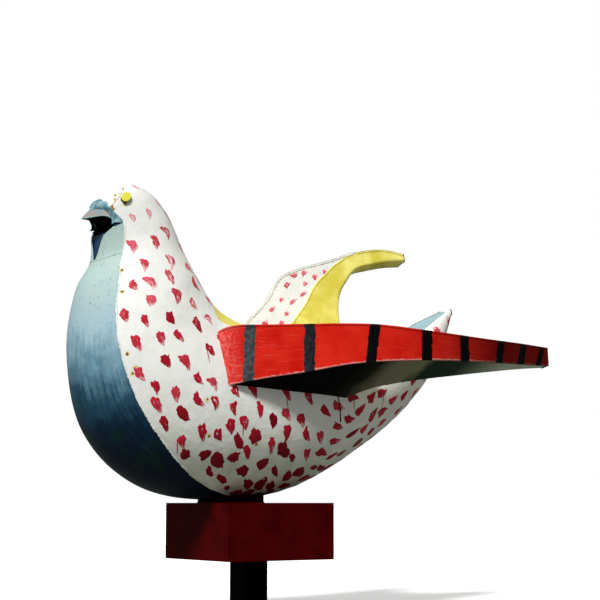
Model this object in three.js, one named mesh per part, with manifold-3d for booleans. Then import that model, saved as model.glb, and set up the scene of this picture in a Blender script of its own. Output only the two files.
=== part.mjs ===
// Large dove of welded and painted sheet steel, on a square plinth and a square post.
// Millimetres, Z up. The bird faces -X and its left side is -Y.
// The origin is the centre of the post's open lower end, where the post is held.
import * as THREE from 'three';
import { mergeVertices } from 'three/addons/utils/BufferGeometryUtils.js';
import Module from 'manifold-3d';

const wasm = await Module();
wasm.setup();

// Clearance between two pieces that are welded or seated on each other
const seat = 0.3;

// Post, plinth and collar
const postSide = 50;
const postWall = 3;
const postLength = 100;
const plinthSide = 225;
const plinthHeight = 102;
const plinthSheet = 3;
const collarSide = 88;
const collarWall = 4;
const collarX = -40;
const collarHeight = 60;

// Bird: sheet, height of the keel above the plinth, and the parts of its skin that are set in
const skin = 2;
const keelAbovePlinth = 5;
const chinInset = 2;
const tailLap = 8;

// Armature inside the bird
const stemRadius = 17;
const stemWall = 4;
const spineWidth = 30;
const spineDepth = 12;
const spineHeight = 224;
const spineFront = -290;
const spineRear = 322;
const strutRadius = 8;
const strutBehindFront = 28;
const strutX = spineFront + strutBehindFront;
const formerSheet = 4;
const formerRim = 24;
const formerWeb = 46;

// Bars, slabs and cutters that the body trims are made this long, which is more than it measures
const untrimmed = 800;

// Wings: folded rim, the lip by which it stands above the skins, and the spar
const rimSheet = 2.5;
const rimLip = 1.5;
const sparSheet = 4;
const sparShare = 0.3;

// Beak and eyes
const beakSheet = 1.6;
const eyeLength = 18;
const eyeHeight = 15;
const eyeProud = 5;

// Facets: steps in each stretch between two stations or rows and round half a body section,
// and how far a flat facet of the skin may lie inside its true curve
const stationSteps = 3;
const rowSteps = 3;
const halfSteps = 12;
const facetSag = 0.7;

// Paint colours
const white = 0xe8e6de;
const blue = 0x8fb3ba;
const darkBlue = 0x20343f;
const yellow = 0xd8cf4a;
const red = 0xc8261c;
const olive = 0x2c2b1c;
const maroon = 0x3c0406;
const black = 0x0c0c0d;
const steel = 0x6a6a6c;

// Heights that follow from the sizes above
const plinthLow = postLength + seat;
const plinthTop = plinthLow + plinthHeight;
const bodyBase = plinthTop + keelAbovePlinth;

// Body stations from the tail end to the face. Each gives the point on the back line and the
// point on the keel, throat or chin line, as distance to the rear and height above the keel,
// then the half width between them and how far the back is dished.
const stations = [
  { name: 'tail end', back: [477, 397], front: [474, 366], half: 22, dish: 0.5 },
  { name: 'tail', back: [424, 383], front: [450, 312], half: 46, dish: 0.6 },
  { name: 'tail root', back: [350, 354], front: [404, 240], half: 74, dish: 0.4 },
  { name: 'rump', back: [255, 328], front: [324, 162], half: 102, dish: 0.15 },
  { name: 'rear', back: [150, 316], front: [208, 84], half: 124, dish: 0 },
  { name: 'middle', back: [40, 316], front: [80, 22], half: 134, dish: 0 },
  { name: 'keel', back: [-46, 330], front: [-66, 0], half: 136, dish: 0 },
  { name: 'low breast', back: [-94, 354], front: [-226, 24], half: 133, dish: 0 },
  { name: 'breast', back: [-122, 390], front: [-328, 112], half: 123, dish: 0 },
  { name: 'crop', back: [-142, 424], front: [-364, 252], half: 106, dish: 0 },
  { name: 'neck', back: [-158, 456], front: [-352, 366], half: 82, dish: 0 },
  { name: 'throat', back: [-171, 484], front: [-326, 418], half: 70, dish: 0 },
  { name: 'jaw', back: [-188, 514], front: [-326, 458], half: 63, dish: 0 },
  { name: 'head', back: [-221, 550], front: [-331, 486], half: 56, dish: 0 },
  { name: 'crown', back: [-266, 564], front: [-327, 495], half: 49, dish: 0 },
  { name: 'brow', back: [-304, 549], front: [-322, 501], half: 37, dish: 0 },
  { name: 'face', back: [-319, 528], front: [-323, 508], half: 22, dish: 0 },
];
const station = (name) => stations.findIndex((entry) => entry.name === name);
const lastStation = stations.length - 1;
const bodyPoint = (pair, y) => new THREE.Vector3(pair[0], y, pair[1] + bodyBase);
const backLine = new THREE.CatmullRomCurve3(stations.map((s) => bodyPoint(s.back, s.half)));
const frontLine = new THREE.CatmullRomCurve3(stations.map((s) => bodyPoint(s.front, s.dish)));

// Point of the body's outer surface. u runs from the tail end (0) to the face (lastStation),
// v from the keel (0) round one side to the back line (PI); a negative v is the bird's left.
function surface(u, v) {
  const t = THREE.MathUtils.clamp(u / lastStation, 0, 1);
  const back = backLine.getPoint(t);
  const front = frontLine.getPoint(t);
  const half = back.y;
  const dish = front.y;
  const up = -Math.cos(v);
  const raised = (up + 1) / 2 - 0.5 * dish * Math.max(0, up) ** 4;
  const x = front.x + (back.x - front.x) * raised;
  const z = front.z + (back.z - front.z) * raised;
  return new THREE.Vector3(x, half * Math.sin(v), z);
}

function surfaceNormal(u, v) {
  const step = 0.02;
  const low = Math.max(u - step, 0);
  const high = Math.min(u + step, lastStation);
  const forward = surface(high, v).sub(surface(low, v));
  const round = surface(u, v + step).sub(surface(u, v - step));
  return new THREE.Vector3().crossVectors(forward, round).normalize();
}

// Surface point moved outwards by a distance, or inwards by a negative one
function shell(u, v, distance) {
  return surface(u, v).addScaledVector(surfaceNormal(u, v), distance);
}

// Smooth value along the body through a short list of [u, value] pairs
function along(pairs) {
  const last = pairs.length - 1;
  const slope = (i) => {
    const before = pairs[Math.max(i - 1, 0)];
    const after = pairs[Math.min(i + 1, last)];
    return (after[1] - before[1]) / (after[0] - before[0]);
  };
  return (u) => {
    const at = THREE.MathUtils.clamp(u, pairs[0][0], pairs[last][0]);
    let i = 0;
    while (i < last - 1 && at > pairs[i + 1][0]) i += 1;
    const [u0, v0] = pairs[i];
    const [u1, v1] = pairs[i + 1];
    const span = u1 - u0;
    const t = (at - u0) / span;
    const rise = t * t * (3 - 2 * t);
    const lead = t * (1 - t) * (1 - t) * span * slope(i);
    const tail = t * t * (t - 1) * span * slope(i + 1);
    return v0 + (v1 - v0) * rise + lead + tail;
  };
}

// Seams of the body, as angles round the section
const saddleStart = station('tail root');
const saddleEnd = station('low breast') + 1 / stationSteps;
const breastStart = station('keel') - 1 / stationSteps;
const throatSeam = station('throat');
const chinTop = station('jaw') + 0.15;
const mouthSeam = station('jaw') + 1 / stationSteps;
const foreheadSeam = station('crown') + 1 / stationSteps;
const breastSeam = along([
  [breastStart, 0.12],
  [station('keel'), 0.3],
  [station('low breast'), 0.76],
  [station('breast'), 0.93],
  [station('crop'), 0.92],
  [station('neck'), 0.98],
  [throatSeam, 0.9],
  [mouthSeam, 1.04],
  [station('head'), 0.94],
  [station('crown'), 0.94],
  [station('brow'), 1.1],
  [lastStation, 1.9],
]);
const backSeam = along([
  [0, Math.PI - 0.75],
  [station('tail root'), Math.PI - 0.85],
  [station('rear'), Math.PI - 0.55],
  [station('keel'), Math.PI - 0.45],
  [saddleEnd, Math.PI - 0.015],
]);
const notchSeam = along([
  [throatSeam, 0.06],
  [station('jaw'), 0.42],
  [mouthSeam, 0.8],
]);

function signedVolume(points, faces) {
  let sum = 0;
  for (const [a, b, c] of faces) {
    sum += points[a].dot(new THREE.Vector3().crossVectors(points[b], points[c]));
  }
  return sum / 6;
}

// Closed geometry from points and triangles, turned so that its faces point out
function closedGeometry(points, faces) {
  const outwards = signedVolume(points, faces) > 0;
  const geometry = new THREE.BufferGeometry();
  const numbers = points.flatMap((p) => [p.x, p.y, p.z]);
  geometry.setAttribute('position', new THREE.Float32BufferAttribute(numbers, 3));
  geometry.setIndex(faces.flatMap(([a, b, c]) => (outwards ? [a, b, c] : [a, c, b])));
  return geometry;
}

// Sheet between two surfaces given on the same grid of rows and columns
function plate(rows, columns, outer, inner) {
  const points = [];
  const faces = [];
  const width = columns + 1;
  for (const side of [outer, inner]) {
    for (let i = 0; i <= rows; i += 1) {
      for (let j = 0; j <= columns; j += 1) {
        points.push(side(i / rows, j / columns));
      }
    }
  }
  const under = (rows + 1) * width;
  const quad = (a, b, c, d) => faces.push([a, b, c], [a, c, d]);
  for (let i = 0; i < rows; i += 1) {
    for (let j = 0; j < columns; j += 1) {
      const a = i * width + j;
      quad(a, a + 1, a + width + 1, a + width);
      quad(under + a, under + a + width, under + a + width + 1, under + a + 1);
    }
  }
  for (let i = 0; i < rows; i += 1) {
    const first = i * width;
    const last = first + columns;
    quad(first, first + width, under + first + width, under + first);
    quad(last, under + last, under + last + width, last + width);
  }
  for (let j = 0; j < columns; j += 1) {
    const end = rows * width + j;
    quad(j, under + j, under + j + 1, j + 1);
    quad(end, end + 1, under + end + 1, under + end);
  }
  return closedGeometry(points, faces);
}

// Solid of the whole body, grown outwards or shrunk inwards, for cutting what meets it. With
// finer facets than the skin's it keeps closer to the true curve.
function bodyEnvelope(distance, finer = 1) {
  const rows = lastStation * stationSteps;
  const ring = 2 * halfSteps * finer;
  const points = [];
  const faces = [];
  for (let i = 0; i <= rows; i += 1) {
    for (let j = 0; j < ring; j += 1) {
      points.push(shell(i / stationSteps, (j / ring) * 2 * Math.PI, distance));
    }
  }
  for (let i = 0; i < rows; i += 1) {
    for (let j = 0; j < ring; j += 1) {
      const next = (j + 1) % ring;
      faces.push([i * ring + j, i * ring + next, (i + 1) * ring + next]);
      faces.push([i * ring + j, (i + 1) * ring + next, (i + 1) * ring + j]);
    }
  }
  for (const row of [0, rows]) {
    const centre = points.length;
    const middle = new THREE.Vector3();
    for (let j = 0; j < ring; j += 1) {
      middle.addScaledVector(points[row * ring + j], 1 / ring);
    }
    points.push(middle);
    for (let j = 0; j < ring; j += 1) {
      const a = row * ring + j;
      const b = row * ring + ((j + 1) % ring);
      faces.push(row === 0 ? [centre, b, a] : [centre, a, b]);
    }
  }
  return closedGeometry(points, faces);
}

function toManifold(geometry) {
  const bare = geometry.clone();
  bare.deleteAttribute('normal');
  bare.deleteAttribute('uv');
  const merged = mergeVertices(bare, 1e-4);
  return new wasm.Manifold(new wasm.Mesh({
    numProp: 3,
    vertProperties: new Float32Array(merged.attributes.position.array),
    triVerts: new Uint32Array(merged.index.array),
  }));
}

function fromManifold(manifold) {
  const mesh = manifold.getMesh();
  const geometry = new THREE.BufferGeometry();
  geometry.setAttribute('position', new THREE.Float32BufferAttribute(mesh.vertProperties, 3));
  geometry.setIndex(Array.from(mesh.triVerts));
  return geometry;
}

function subtract(geometry, ...cutters) {
  let result = toManifold(geometry);
  for (const cutter of cutters) {
    result = result.subtract(toManifold(cutter));
  }
  return fromManifold(result);
}

function intersect(geometry, other) {
  return fromManifold(toManifold(geometry).intersect(toManifold(other)));
}

function box(sizeX, sizeY, sizeZ, x, y, z) {
  const geometry = new THREE.BoxGeometry(sizeX, sizeY, sizeZ);
  geometry.translate(x, y, z);
  return geometry;
}

// Upright round bar between two heights
function roundBar(radius, low, high, x) {
  const geometry = new THREE.CylinderGeometry(radius, radius, high - low, 32);
  geometry.rotateX(Math.PI / 2);
  geometry.translate(x, 0, (low + high) / 2);
  return geometry;
}

// Upright square tube, open at both ends
function squareTube(side, wall, low, high, x) {
  const middle = (low + high) / 2;
  const bore = side - 2 * wall;
  const outer = box(side, side, high - low, x, 0, middle);
  return subtract(outer, box(bore, bore, high - low + 2, x, 0, middle));
}

const group = new THREE.Group();
group.name = 'dove_on_post';

function add(name, geometry, colour, roughness, metalness = 0) {
  const material = new THREE.MeshStandardMaterial({ color: colour, roughness, metalness });
  const mesh = new THREE.Mesh(geometry, material);
  mesh.name = name;
  group.add(mesh);
}

// Angle that a distance covers on the section at u, v
function angleFor(u, v, distance) {
  const step = 0.02;
  const span = surface(u, v + step).distanceTo(surface(u, v - step));
  return (distance * 2 * step) / span;
}

// Body panel between two seam angles, each edge kept half a clearance back from its seam
function panel({ from, to, low, high, columns, inset = 0, thickness = skin }) {
  const rows = Math.round((to - from) * stationSteps);
  const endGap = 0.006;
  const at = (depth) => (s, f) => {
    const u = THREE.MathUtils.lerp(from, to, s);
    const inside = THREE.MathUtils.clamp(u, from + endGap, to - endGap);
    const start = low(inside) + angleFor(inside, low(inside), seat / 2);
    const end = high(inside) - angleFor(inside, high(inside), seat / 2);
    return shell(inside, THREE.MathUtils.lerp(start, end, f), -depth);
  };
  return plate(rows, columns, at(inset), at(inset + thickness));
}

// The seams on the bird's left are the same angles, negative and in the opposite order
function sidePanel(sign, shape) {
  const { low, high } = shape;
  if (sign > 0) return panel(shape);
  return panel({ ...shape, low: (u) => -high(u), high: (u) => -low(u) });
}

const sides = [['left', -1], ['right', 1]];

function buildFlanks(stemCut) {
  for (const [side, sign] of sides) {
    const flank = sidePanel(sign, {
      from: 0,
      to: foreheadSeam,
      low: (u) => (u < breastStart ? 0 : breastSeam(u)),
      high: (u) => (u < saddleEnd + 0.5 / stationSteps ? backSeam(u) : Math.PI),
      columns: halfSteps,
    });
    add(`flank_${side}`, subtract(flank, stemCut), white, 0.55);
  }
}

function buildBreast(stemCut) {
  const breast = panel({
    from: breastStart,
    to: throatSeam,
    low: (u) => -breastSeam(u),
    high: (u) => breastSeam(u),
    columns: halfSteps,
  });
  add('breast_plate', subtract(breast, stemCut), blue, 0.5);
  for (const [side, sign] of sides) {
    const cheek = sidePanel(sign, {
      from: throatSeam,
      to: mouthSeam,
      low: notchSeam,
      high: breastSeam,
      columns: 5,
    });
    add(`cheek_${side}`, cheek, blue, 0.5);
  }
  const tipGap = 0.05;
  const chinLap = 0.1;
  const chin = (depth) => (s, f) => {
    const u = THREE.MathUtils.lerp(throatSeam + tipGap, chinTop, s);
    const edge = notchSeam(u) + chinLap;
    const back = new THREE.Vector3(chinInset + depth, 0, 0);
    return surface(u, -edge).lerp(surface(u, edge), f).add(back);
  };
  const cheekRoom = (sign) => sidePanel(sign, {
    from: throatSeam,
    to: mouthSeam,
    low: (u) => notchSeam(u) - angleFor(u, notchSeam(u), 2 * seat),
    high: (u) => notchSeam(u) + 3 * chinLap,
    columns: 5,
    inset: -chinInset,
    thickness: chinInset + skin + 3 * seat,
  });
  const plain = plate(2 * stationSteps, 4, chin(0), chin(skin));
  add('chin_plate', subtract(plain, cheekRoom(-1), cheekRoom(1)), darkBlue, 0.5);
}

function buildBack() {
  const over = (seam) => ({ low: (u) => seam(u), high: (u) => 2 * Math.PI - seam(u) });
  const back = over(backSeam);
  const saddle = { from: saddleStart, to: saddleEnd, ...back, columns: 8 };
  const lapped = over((u) => backSeam(u) - angleFor(u, backSeam(u), tailLap));
  const tail = { from: 0, to: saddleStart, ...lapped, columns: 8, inset: skin + 2 * seat };
  const forehead = { from: foreheadSeam, to: lastStation, ...over(breastSeam), columns: 10 };
  add('saddle_plate', panel(saddle), yellow, 0.5);
  add('tail_plate', panel(tail), blue, 0.5);
  add('forehead_plate', panel(forehead), white, 0.55);
}

// The beak is one folded sheet. Its rear edge follows the head from one mouth corner over the
// brow to the other. It is drawn in at the crease and flares from there to the lip. The points of
// the crease and the lip run from the middle to the mouth corner on one side.
const beakCrease = [
  [-335, 0, 508],
  [-326, 13, 509],
  [-317, 27, 505],
  [-312, 34, 495],
  [-308, 45, 481],
];
const beakLip = [
  [-351, 0, 490],
  [-333, 16, 493.5],
  [-321, 29, 494.5],
  [-312, 40, 488],
  [-313, 42, 479],
];
const browBulge = 2;
const beakCrest = 0.14;
const beakRows = 20;

function buildBeak() {
  const line = (points) => {
    return new THREE.CatmullRomCurve3(points.map(([x, y, z]) => bodyPoint([x, z], y)));
  };
  const crease = line(beakCrease);
  const lip = line(beakLip);
  const mirrored = (point, t) => new THREE.Vector3(point.x, Math.sign(t) * point.y, point.z);
  const rear = (t) => {
    const sign = Math.sign(t) || 1;
    const reach = Math.abs(t);
    if (reach < beakCrest) {
      const v = THREE.MathUtils.lerp(Math.PI, breastSeam(lastStation), reach / beakCrest);
      return surface(lastStation, sign * v).add(new THREE.Vector3(-4 * seat, 0, 0));
    }
    const share = (reach - beakCrest) / (1 - beakCrest);
    const u = THREE.MathUtils.lerp(lastStation, mouthSeam, share);
    const v = breastSeam(u) - angleFor(u, breastSeam(u), 2.5 * seat);
    return surface(u, sign * v);
  };
  const outer = (s, f) => {
    const t = 1 - 2 * s;
    const fold = mirrored(crease.getPoint(Math.abs(t)), t);
    if (f > 0.5) {
      return fold.lerp(mirrored(lip.getPoint(Math.abs(t)), t), 2 * f - 1);
    }
    const bulge = browBulge * Math.sin(2 * Math.PI * f) * (1 - Math.abs(t));
    return rear(t).lerp(fold, 2 * f).add(new THREE.Vector3(-bulge, 0, bulge));
  };
  const inner = (s, f) => {
    const step = 0.01;
    const across = outer(Math.min(s + step, 1), f).sub(outer(Math.max(s - step, 0), f));
    const down = outer(s, Math.min(f + step, 1)).sub(outer(s, Math.max(f - step, 0)));
    const normal = new THREE.Vector3().crossVectors(across, down).normalize();
    return outer(s, f).addScaledVector(normal, -beakSheet);
  };
  add('upper_beak', plate(beakRows, 6, outer, inner), blue, 0.45);
}

const eyeStation = station('head') + 0.76;
const eyeAngle = 1.61;

function buildEyes(bodyCut) {
  for (const [side, sign] of sides) {
    const place = surface(eyeStation, sign * eyeAngle);
    const normal = surfaceNormal(eyeStation, sign * eyeAngle);
    const profile = [[0, -1], [1, -1], [1, 0.7], [0.88, 0.95], [0, 1]];
    const eye = new THREE.LatheGeometry(profile.map(([r, h]) => new THREE.Vector2(r, h)), 24);
    eye.scale(eyeLength / 2, eyeProud, eyeHeight / 2);
    eye.rotateX(Math.PI / 2);
    const up = new THREE.Vector3(0, 0, 1);
    eye.applyQuaternion(new THREE.Quaternion().setFromUnitVectors(up, normal));
    eye.translate(place.x, place.y, place.z);
    add(`eye_${side}`, subtract(eye, bodyCut), yellow, 0.5);
  }
}

// Wings. Each row gives the top's outer edge and the trailing edge in the wing's own plane, as
// distance to the rear and distance out from the hinge, the depth of the wing at both edges, how
// far the foot of the rim is tucked in under its top, and the share of the width that the white
// top skin takes up before the yellow band starts.
const leftWing = {
  side: 'left',
  sign: -1,
  hinge: [100, 224],
  raised: 25.2,
  pitch: 5.4,
  above: 0.5,
  rimColour: red,
  rows: [
    { lead: [-142, 10], trail: [112, -30], deep: 98, thin: 80, tuck: 45, skinShare: 0.72 },
    { lead: [-137, 44], trail: [120, -10], deep: 97, thin: 78, tuck: 45, skinShare: 0.71 },
    { lead: [-120, 62], trail: [127, 8], deep: 96, thin: 76, tuck: 44, skinShare: 0.7 },
    { lead: [-70, 88], trail: [146, 32], deep: 87, thin: 68, tuck: 40, skinShare: 0.68 },
    { lead: [0, 120], trail: [172, 52], deep: 78, thin: 58, tuck: 36, skinShare: 0.66 },
    { lead: [60, 149], trail: [205, 70], deep: 68, thin: 50, tuck: 31, skinShare: 0.63 },
    { lead: [117, 169], trail: [250, 93], deep: 61, thin: 44, tuck: 28, skinShare: 0.58 },
    { lead: [230, 190], trail: [310, 120], deep: 48, thin: 38, tuck: 22, skinShare: 0.45 },
    { lead: [330, 203], trail: [370, 148], deep: 40, thin: 34, tuck: 18, skinShare: 0.2 },
    { lead: [420, 213], trail: [430, 176], deep: 37, thin: 32, tuck: 14, skinShare: 0.2 },
    { lead: [478, 218], trail: [474, 194], deep: 34, thin: 32, tuck: 10, skinShare: 0.3 },
  ],
  skinRows: 8,
};

const rightWing = {
  side: 'right',
  sign: 1,
  hinge: [95, 283],
  raised: 70,
  pitch: 0,
  above: 0,
  rimColour: white,
  rows: [
    { lead: [-40, -30], trail: [292, -30], deep: 80, thin: 46, tuck: 26, skinShare: 0.5 },
    { lead: [-8, 4], trail: [296, 4], deep: 78, thin: 45, tuck: 26, skinShare: 0.48 },
    { lead: [69, 75], trail: [301, 80], deep: 72, thin: 44, tuck: 24, skinShare: 0.48 },
    { lead: [126, 128], trail: [308, 125], deep: 66, thin: 42, tuck: 22, skinShare: 0.54 },
    { lead: [168, 181], trail: [322, 160], deep: 60, thin: 40, tuck: 20, skinShare: 0.57 },
    { lead: [225, 209], trail: [345, 190], deep: 54, thin: 38, tuck: 16, skinShare: 0.54 },
    { lead: [300, 234], trail: [378, 222], deep: 50, thin: 36, tuck: 10, skinShare: 0.36 },
    { lead: [375, 262], trail: [425, 237], deep: 46, thin: 34, tuck: 8, skinShare: 0.12 },
    { lead: [463, 279], trail: [472, 248], deep: 40, thin: 32, tuck: 6, skinShare: 0.15 },
    { lead: [520, 273], trail: [518, 255], deep: 36, thin: 32, tuck: 4, skinShare: 0.3 },
  ],
  skinRows: 7,
};

function buildWing(wing, bodyCut) {
  const { rows, side, sign, above, skinRows } = wing;
  const last = rows.length - 1;
  const degrees = THREE.MathUtils.degToRad;
  const matrix = new THREE.Matrix4()
    .makeTranslation(0, sign * wing.hinge[0], wing.hinge[1] + bodyBase)
    .multiply(new THREE.Matrix4().makeRotationY(degrees(wing.pitch)))
    .multiply(new THREE.Matrix4().makeRotationX(degrees(sign * wing.raised)));
  const curve = (pick) => new THREE.CatmullRomCurve3(rows.map(pick));
  const lead = curve((row) => new THREE.Vector3(row.lead[0], row.lead[1], row.deep));
  const foot = curve((row) => new THREE.Vector3(row.lead[0], row.lead[1] - row.tuck, row.deep));
  const trail = curve((row) => new THREE.Vector3(row.trail[0], row.trail[1], row.thin));
  const share = curve((row) => new THREE.Vector3(row.skinShare, 0, 0));

  // Fraction of the width at a row that a distance in from the lead or the trailing edge takes
  const fraction = (row, distance, edge, onTop) => {
    const t = row / last;
    const across = trail.getPoint(t).sub((onTop ? lead : foot).getPoint(t));
    const way = edge.getTangent(t);
    const width = Math.abs(way.x * across.y - way.y * across.x) / Math.hypot(way.x, way.y);
    return distance / Math.max(width, 3 * distance);
  };
  // Point at a row and a fraction of the width, on the top or the bottom, sunk by a distance
  const at = (row, f, onTop, sink) => {
    const t = row / last;
    const p = (onTop ? lead : foot).getPoint(t).lerp(trail.getPoint(t), f);
    const n = onTop ? above * p.z - sink : (above - 1) * p.z + sink;
    return new THREE.Vector3(p.x, sign * p.y, n).applyMatrix4(matrix);
  };
  const put = (name, geometry, colour, roughness, metalness) => {
    add(`wing_${name}_${side}`, subtract(geometry, bodyCut), colour, roughness, metalness);
  };
  const steps = (count) => Math.round(count * rowSteps);
  const lastStep = (edge) => edge.getPoint(1).distanceTo(edge.getPoint((last - 1) / last));
  const lastRow = Math.min(lastStep(lead), lastStep(trail));
  const tipRow = last - (rimSheet + seat) / lastRow;
  // The rim leans in towards its foot, so it takes more of the width below its top edge
  const behindRim = (row, onTop) => {
    const t = row / last;
    const lean = (lead.getPoint(t).y - foot.getPoint(t).y) / lead.getPoint(t).z;
    const more = onTop ? lean * (rimLip + skin) : -lean * rimLip;
    return fraction(row, rimSheet + seat + more, lead, onTop);
  };
  const bandStart = (row) => {
    const start = row < skinRows ? share.getPoint(row / last).x : 0;
    return Math.max(start, behindRim(row, true) + 0.04);
  };

  const top = (sink) => (s, f) => {
    const row = s * skinRows;
    const end = bandStart(row) - fraction(row, seat, lead, true);
    return at(row, THREE.MathUtils.lerp(behindRim(row, true), end, f), true, rimLip + sink);
  };
  put('top', plate(steps(skinRows), 5, top(0), top(skin)), white, 0.55);

  const bottom = (sink) => (s, f) => {
    const row = Math.min(s * last, tipRow);
    return at(row, THREE.MathUtils.lerp(behindRim(row, false), 1, f), false, rimLip + sink);
  };
  put('bottom', plate(steps(last), 6, bottom(0), bottom(skin)), olive, 0.7);

  // Rim: along the outer edge, then round the tip to the trailing edge
  const rim = (depth) => (s, f) => {
    const path = s * (last + 1);
    const row = Math.min(path, last - depth / lastRow);
    const beyond = Math.max(path - last, 0);
    const edge = (onTop) => {
      const inside = fraction(row, depth, lead, onTop);
      return at(row, THREE.MathUtils.lerp(inside, 1, beyond), onTop, 0);
    };
    return edge(true).lerp(edge(false), f);
  };
  put('rim', plate(steps(last + 1), 4, rim(0), rim(rimSheet)), wing.rimColour, 0.4);

  // Band: across the top from the seam to the trailing edge, then down that edge
  const band = (sheet) => (s, f) => {
    const row = Math.min(s * last, tipRow);
    const cut = (onTop) => 1 - fraction(row, sheet, trail, onTop);
    const edge = at(row, cut(true), true, rimLip + sheet);
    if (f <= 0.5) {
      return at(row, bandStart(row), true, rimLip + sheet).lerp(edge, f * 2);
    }
    const low = at(row, cut(false), false, rimLip + skin + seat);
    return edge.lerp(low, f * 2 - 1);
  };
  put('band', plate(steps(last), 6, band(0), band(skin)), yellow, 0.5);

  const spar = (offset) => (s, f) => {
    const row = THREE.MathUtils.lerp(0.2, skinRows - 0.5, s);
    const clear = rimLip + skin + seat;
    const share0 = sparShare + fraction(row, offset, lead, true);
    return at(row, share0, true, clear).lerp(at(row, share0, false, clear), f);
  };
  put('spar', plate(steps(skinRows), 1, spar(0), spar(sparSheet)), steel, 0.6, 0.6);
}

// Armature: a stem that rises from the plinth through the collar and the belly, a spine bar
// across its top, plates that brace the skin to the spine, and a strut up the neck
const stemLow = plinthLow + plinthSheet + seat;
const spineLow = bodyBase + spineHeight;
const spineTop = spineLow + spineDepth;
const formers = [
  ['tail_former', station('tail root') + 1 / stationSteps],
  ['rear_former', station('rear')],
  ['middle_former', station('keel') + 1 / stationSteps],
  ['breast_former', station('breast') + 1 / stationSteps],
];

function buildArmature() {
  const inside = bodyEnvelope(-(skin + seat + facetSag));
  const stem = subtract(
    roundBar(stemRadius, stemLow, spineLow - seat, collarX),
    roundBar(stemRadius - stemWall, stemLow - 1, spineLow, collarX),
  );
  add('stem_tube', stem, steel, 0.6, 0.6);
  const spineLength = spineRear - spineFront;
  const spineX = (spineRear + spineFront) / 2;
  const spineZ = spineLow + spineDepth / 2;
  add('spine_bar', box(spineLength, spineWidth, spineDepth, spineX, 0, spineZ), steel, 0.6, 0.6);
  const strut = roundBar(strutRadius, spineTop + seat, spineTop + untrimmed, strutX);
  add('neck_strut', intersect(strut, inside), steel, 0.6, 0.6);
  const grow = 2 * seat;
  const spineSlot = box(2 * untrimmed, spineWidth + grow, spineDepth + grow, spineX, 0, spineZ);
  const web = box(2 * untrimmed, 2 * untrimmed, formerWeb, 0, 0, spineZ);
  const hole = subtract(bodyEnvelope(-formerRim), web);
  const stemSlot = roundBar(stemRadius + seat, stemLow, spineLow + seat, collarX);
  const strutSlot = roundBar(strutRadius + seat, spineLow, spineTop + untrimmed, strutX);
  for (const [name, u] of formers) {
    const keel = surface(u, 0);
    const way = surface(u, Math.PI).sub(keel);
    const slab = box(formerSheet, untrimmed, untrimmed, 0, 0, 0);
    slab.rotateY(Math.atan2(way.x, way.z));
    slab.translate(keel.x + way.x / 2, 0, keel.z + way.z / 2);
    const former = subtract(intersect(slab, inside), hole, spineSlot, stemSlot, strutSlot);
    add(name, former, steel, 0.6, 0.6);
  }
}

function buildBase(bodyCut) {
  add('post', squareTube(postSide, postWall, 0, postLength, 0), black, 0.6);
  const sheet = plinthSheet;
  const wallHeight = plinthHeight - 2 * (sheet + seat);
  const wallZ = plinthLow + plinthHeight / 2;
  const edge = (plinthSide - sheet) / 2;
  const between = plinthSide - 2 * (sheet + seat);
  const lid = box(plinthSide, plinthSide, sheet, 0, 0, plinthTop - sheet / 2);
  const stemHole = roundBar(stemRadius + seat, plinthTop - 2 * sheet, plinthTop + sheet, collarX);
  const floor = box(plinthSide, plinthSide, sheet, 0, 0, plinthLow + sheet / 2);
  add('plinth_bottom', floor, maroon, 0.6);
  add('plinth_top', subtract(lid, stemHole), maroon, 0.6);
  add('plinth_front', box(sheet, plinthSide, wallHeight, -edge, 0, wallZ), maroon, 0.6);
  add('plinth_rear', box(sheet, plinthSide, wallHeight, edge, 0, wallZ), maroon, 0.6);
  add('plinth_left', box(between, sheet, wallHeight, 0, -edge, wallZ), maroon, 0.6);
  add('plinth_right', box(between, sheet, wallHeight, 0, edge, wallZ), maroon, 0.6);
  const collarLow = plinthTop + seat;
  const collar = squareTube(collarSide, collarWall, collarLow, collarLow + collarHeight, collarX);
  add('collar', subtract(collar, bodyCut), maroon, 0.6);
}

const bodyCut = bodyEnvelope(1.5 * seat, 3);
const stemCut = roundBar(stemRadius + seat, stemLow, spineLow, collarX);
buildFlanks(stemCut);
buildBreast(stemCut);
buildBack();
buildBeak();
buildEyes(bodyCut);
buildWing(leftWing, bodyCut);
buildWing(rightWing, bodyCut);
buildArmature();
buildBase(bodyCut);

export default group;
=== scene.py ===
"""Finish of the welded steel dove: hand-brushed enamel, weld beads, rust and wear."""

import math
import random
from functools import partial

import bmesh
import bpy
import numpy as np
from mathutils import Matrix, Vector


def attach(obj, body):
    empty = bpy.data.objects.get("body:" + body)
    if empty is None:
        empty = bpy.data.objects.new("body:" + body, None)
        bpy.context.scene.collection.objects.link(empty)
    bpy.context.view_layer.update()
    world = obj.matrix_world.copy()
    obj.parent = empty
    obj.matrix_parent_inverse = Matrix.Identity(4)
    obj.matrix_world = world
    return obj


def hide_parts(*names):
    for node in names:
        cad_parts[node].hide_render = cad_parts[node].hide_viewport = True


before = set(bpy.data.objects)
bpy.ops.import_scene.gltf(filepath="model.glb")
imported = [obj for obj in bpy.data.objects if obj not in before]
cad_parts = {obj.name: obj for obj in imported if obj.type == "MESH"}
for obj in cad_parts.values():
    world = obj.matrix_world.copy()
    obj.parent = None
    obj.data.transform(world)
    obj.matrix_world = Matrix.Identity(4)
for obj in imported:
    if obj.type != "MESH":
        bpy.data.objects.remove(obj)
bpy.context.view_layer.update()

MM = 0.001

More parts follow.
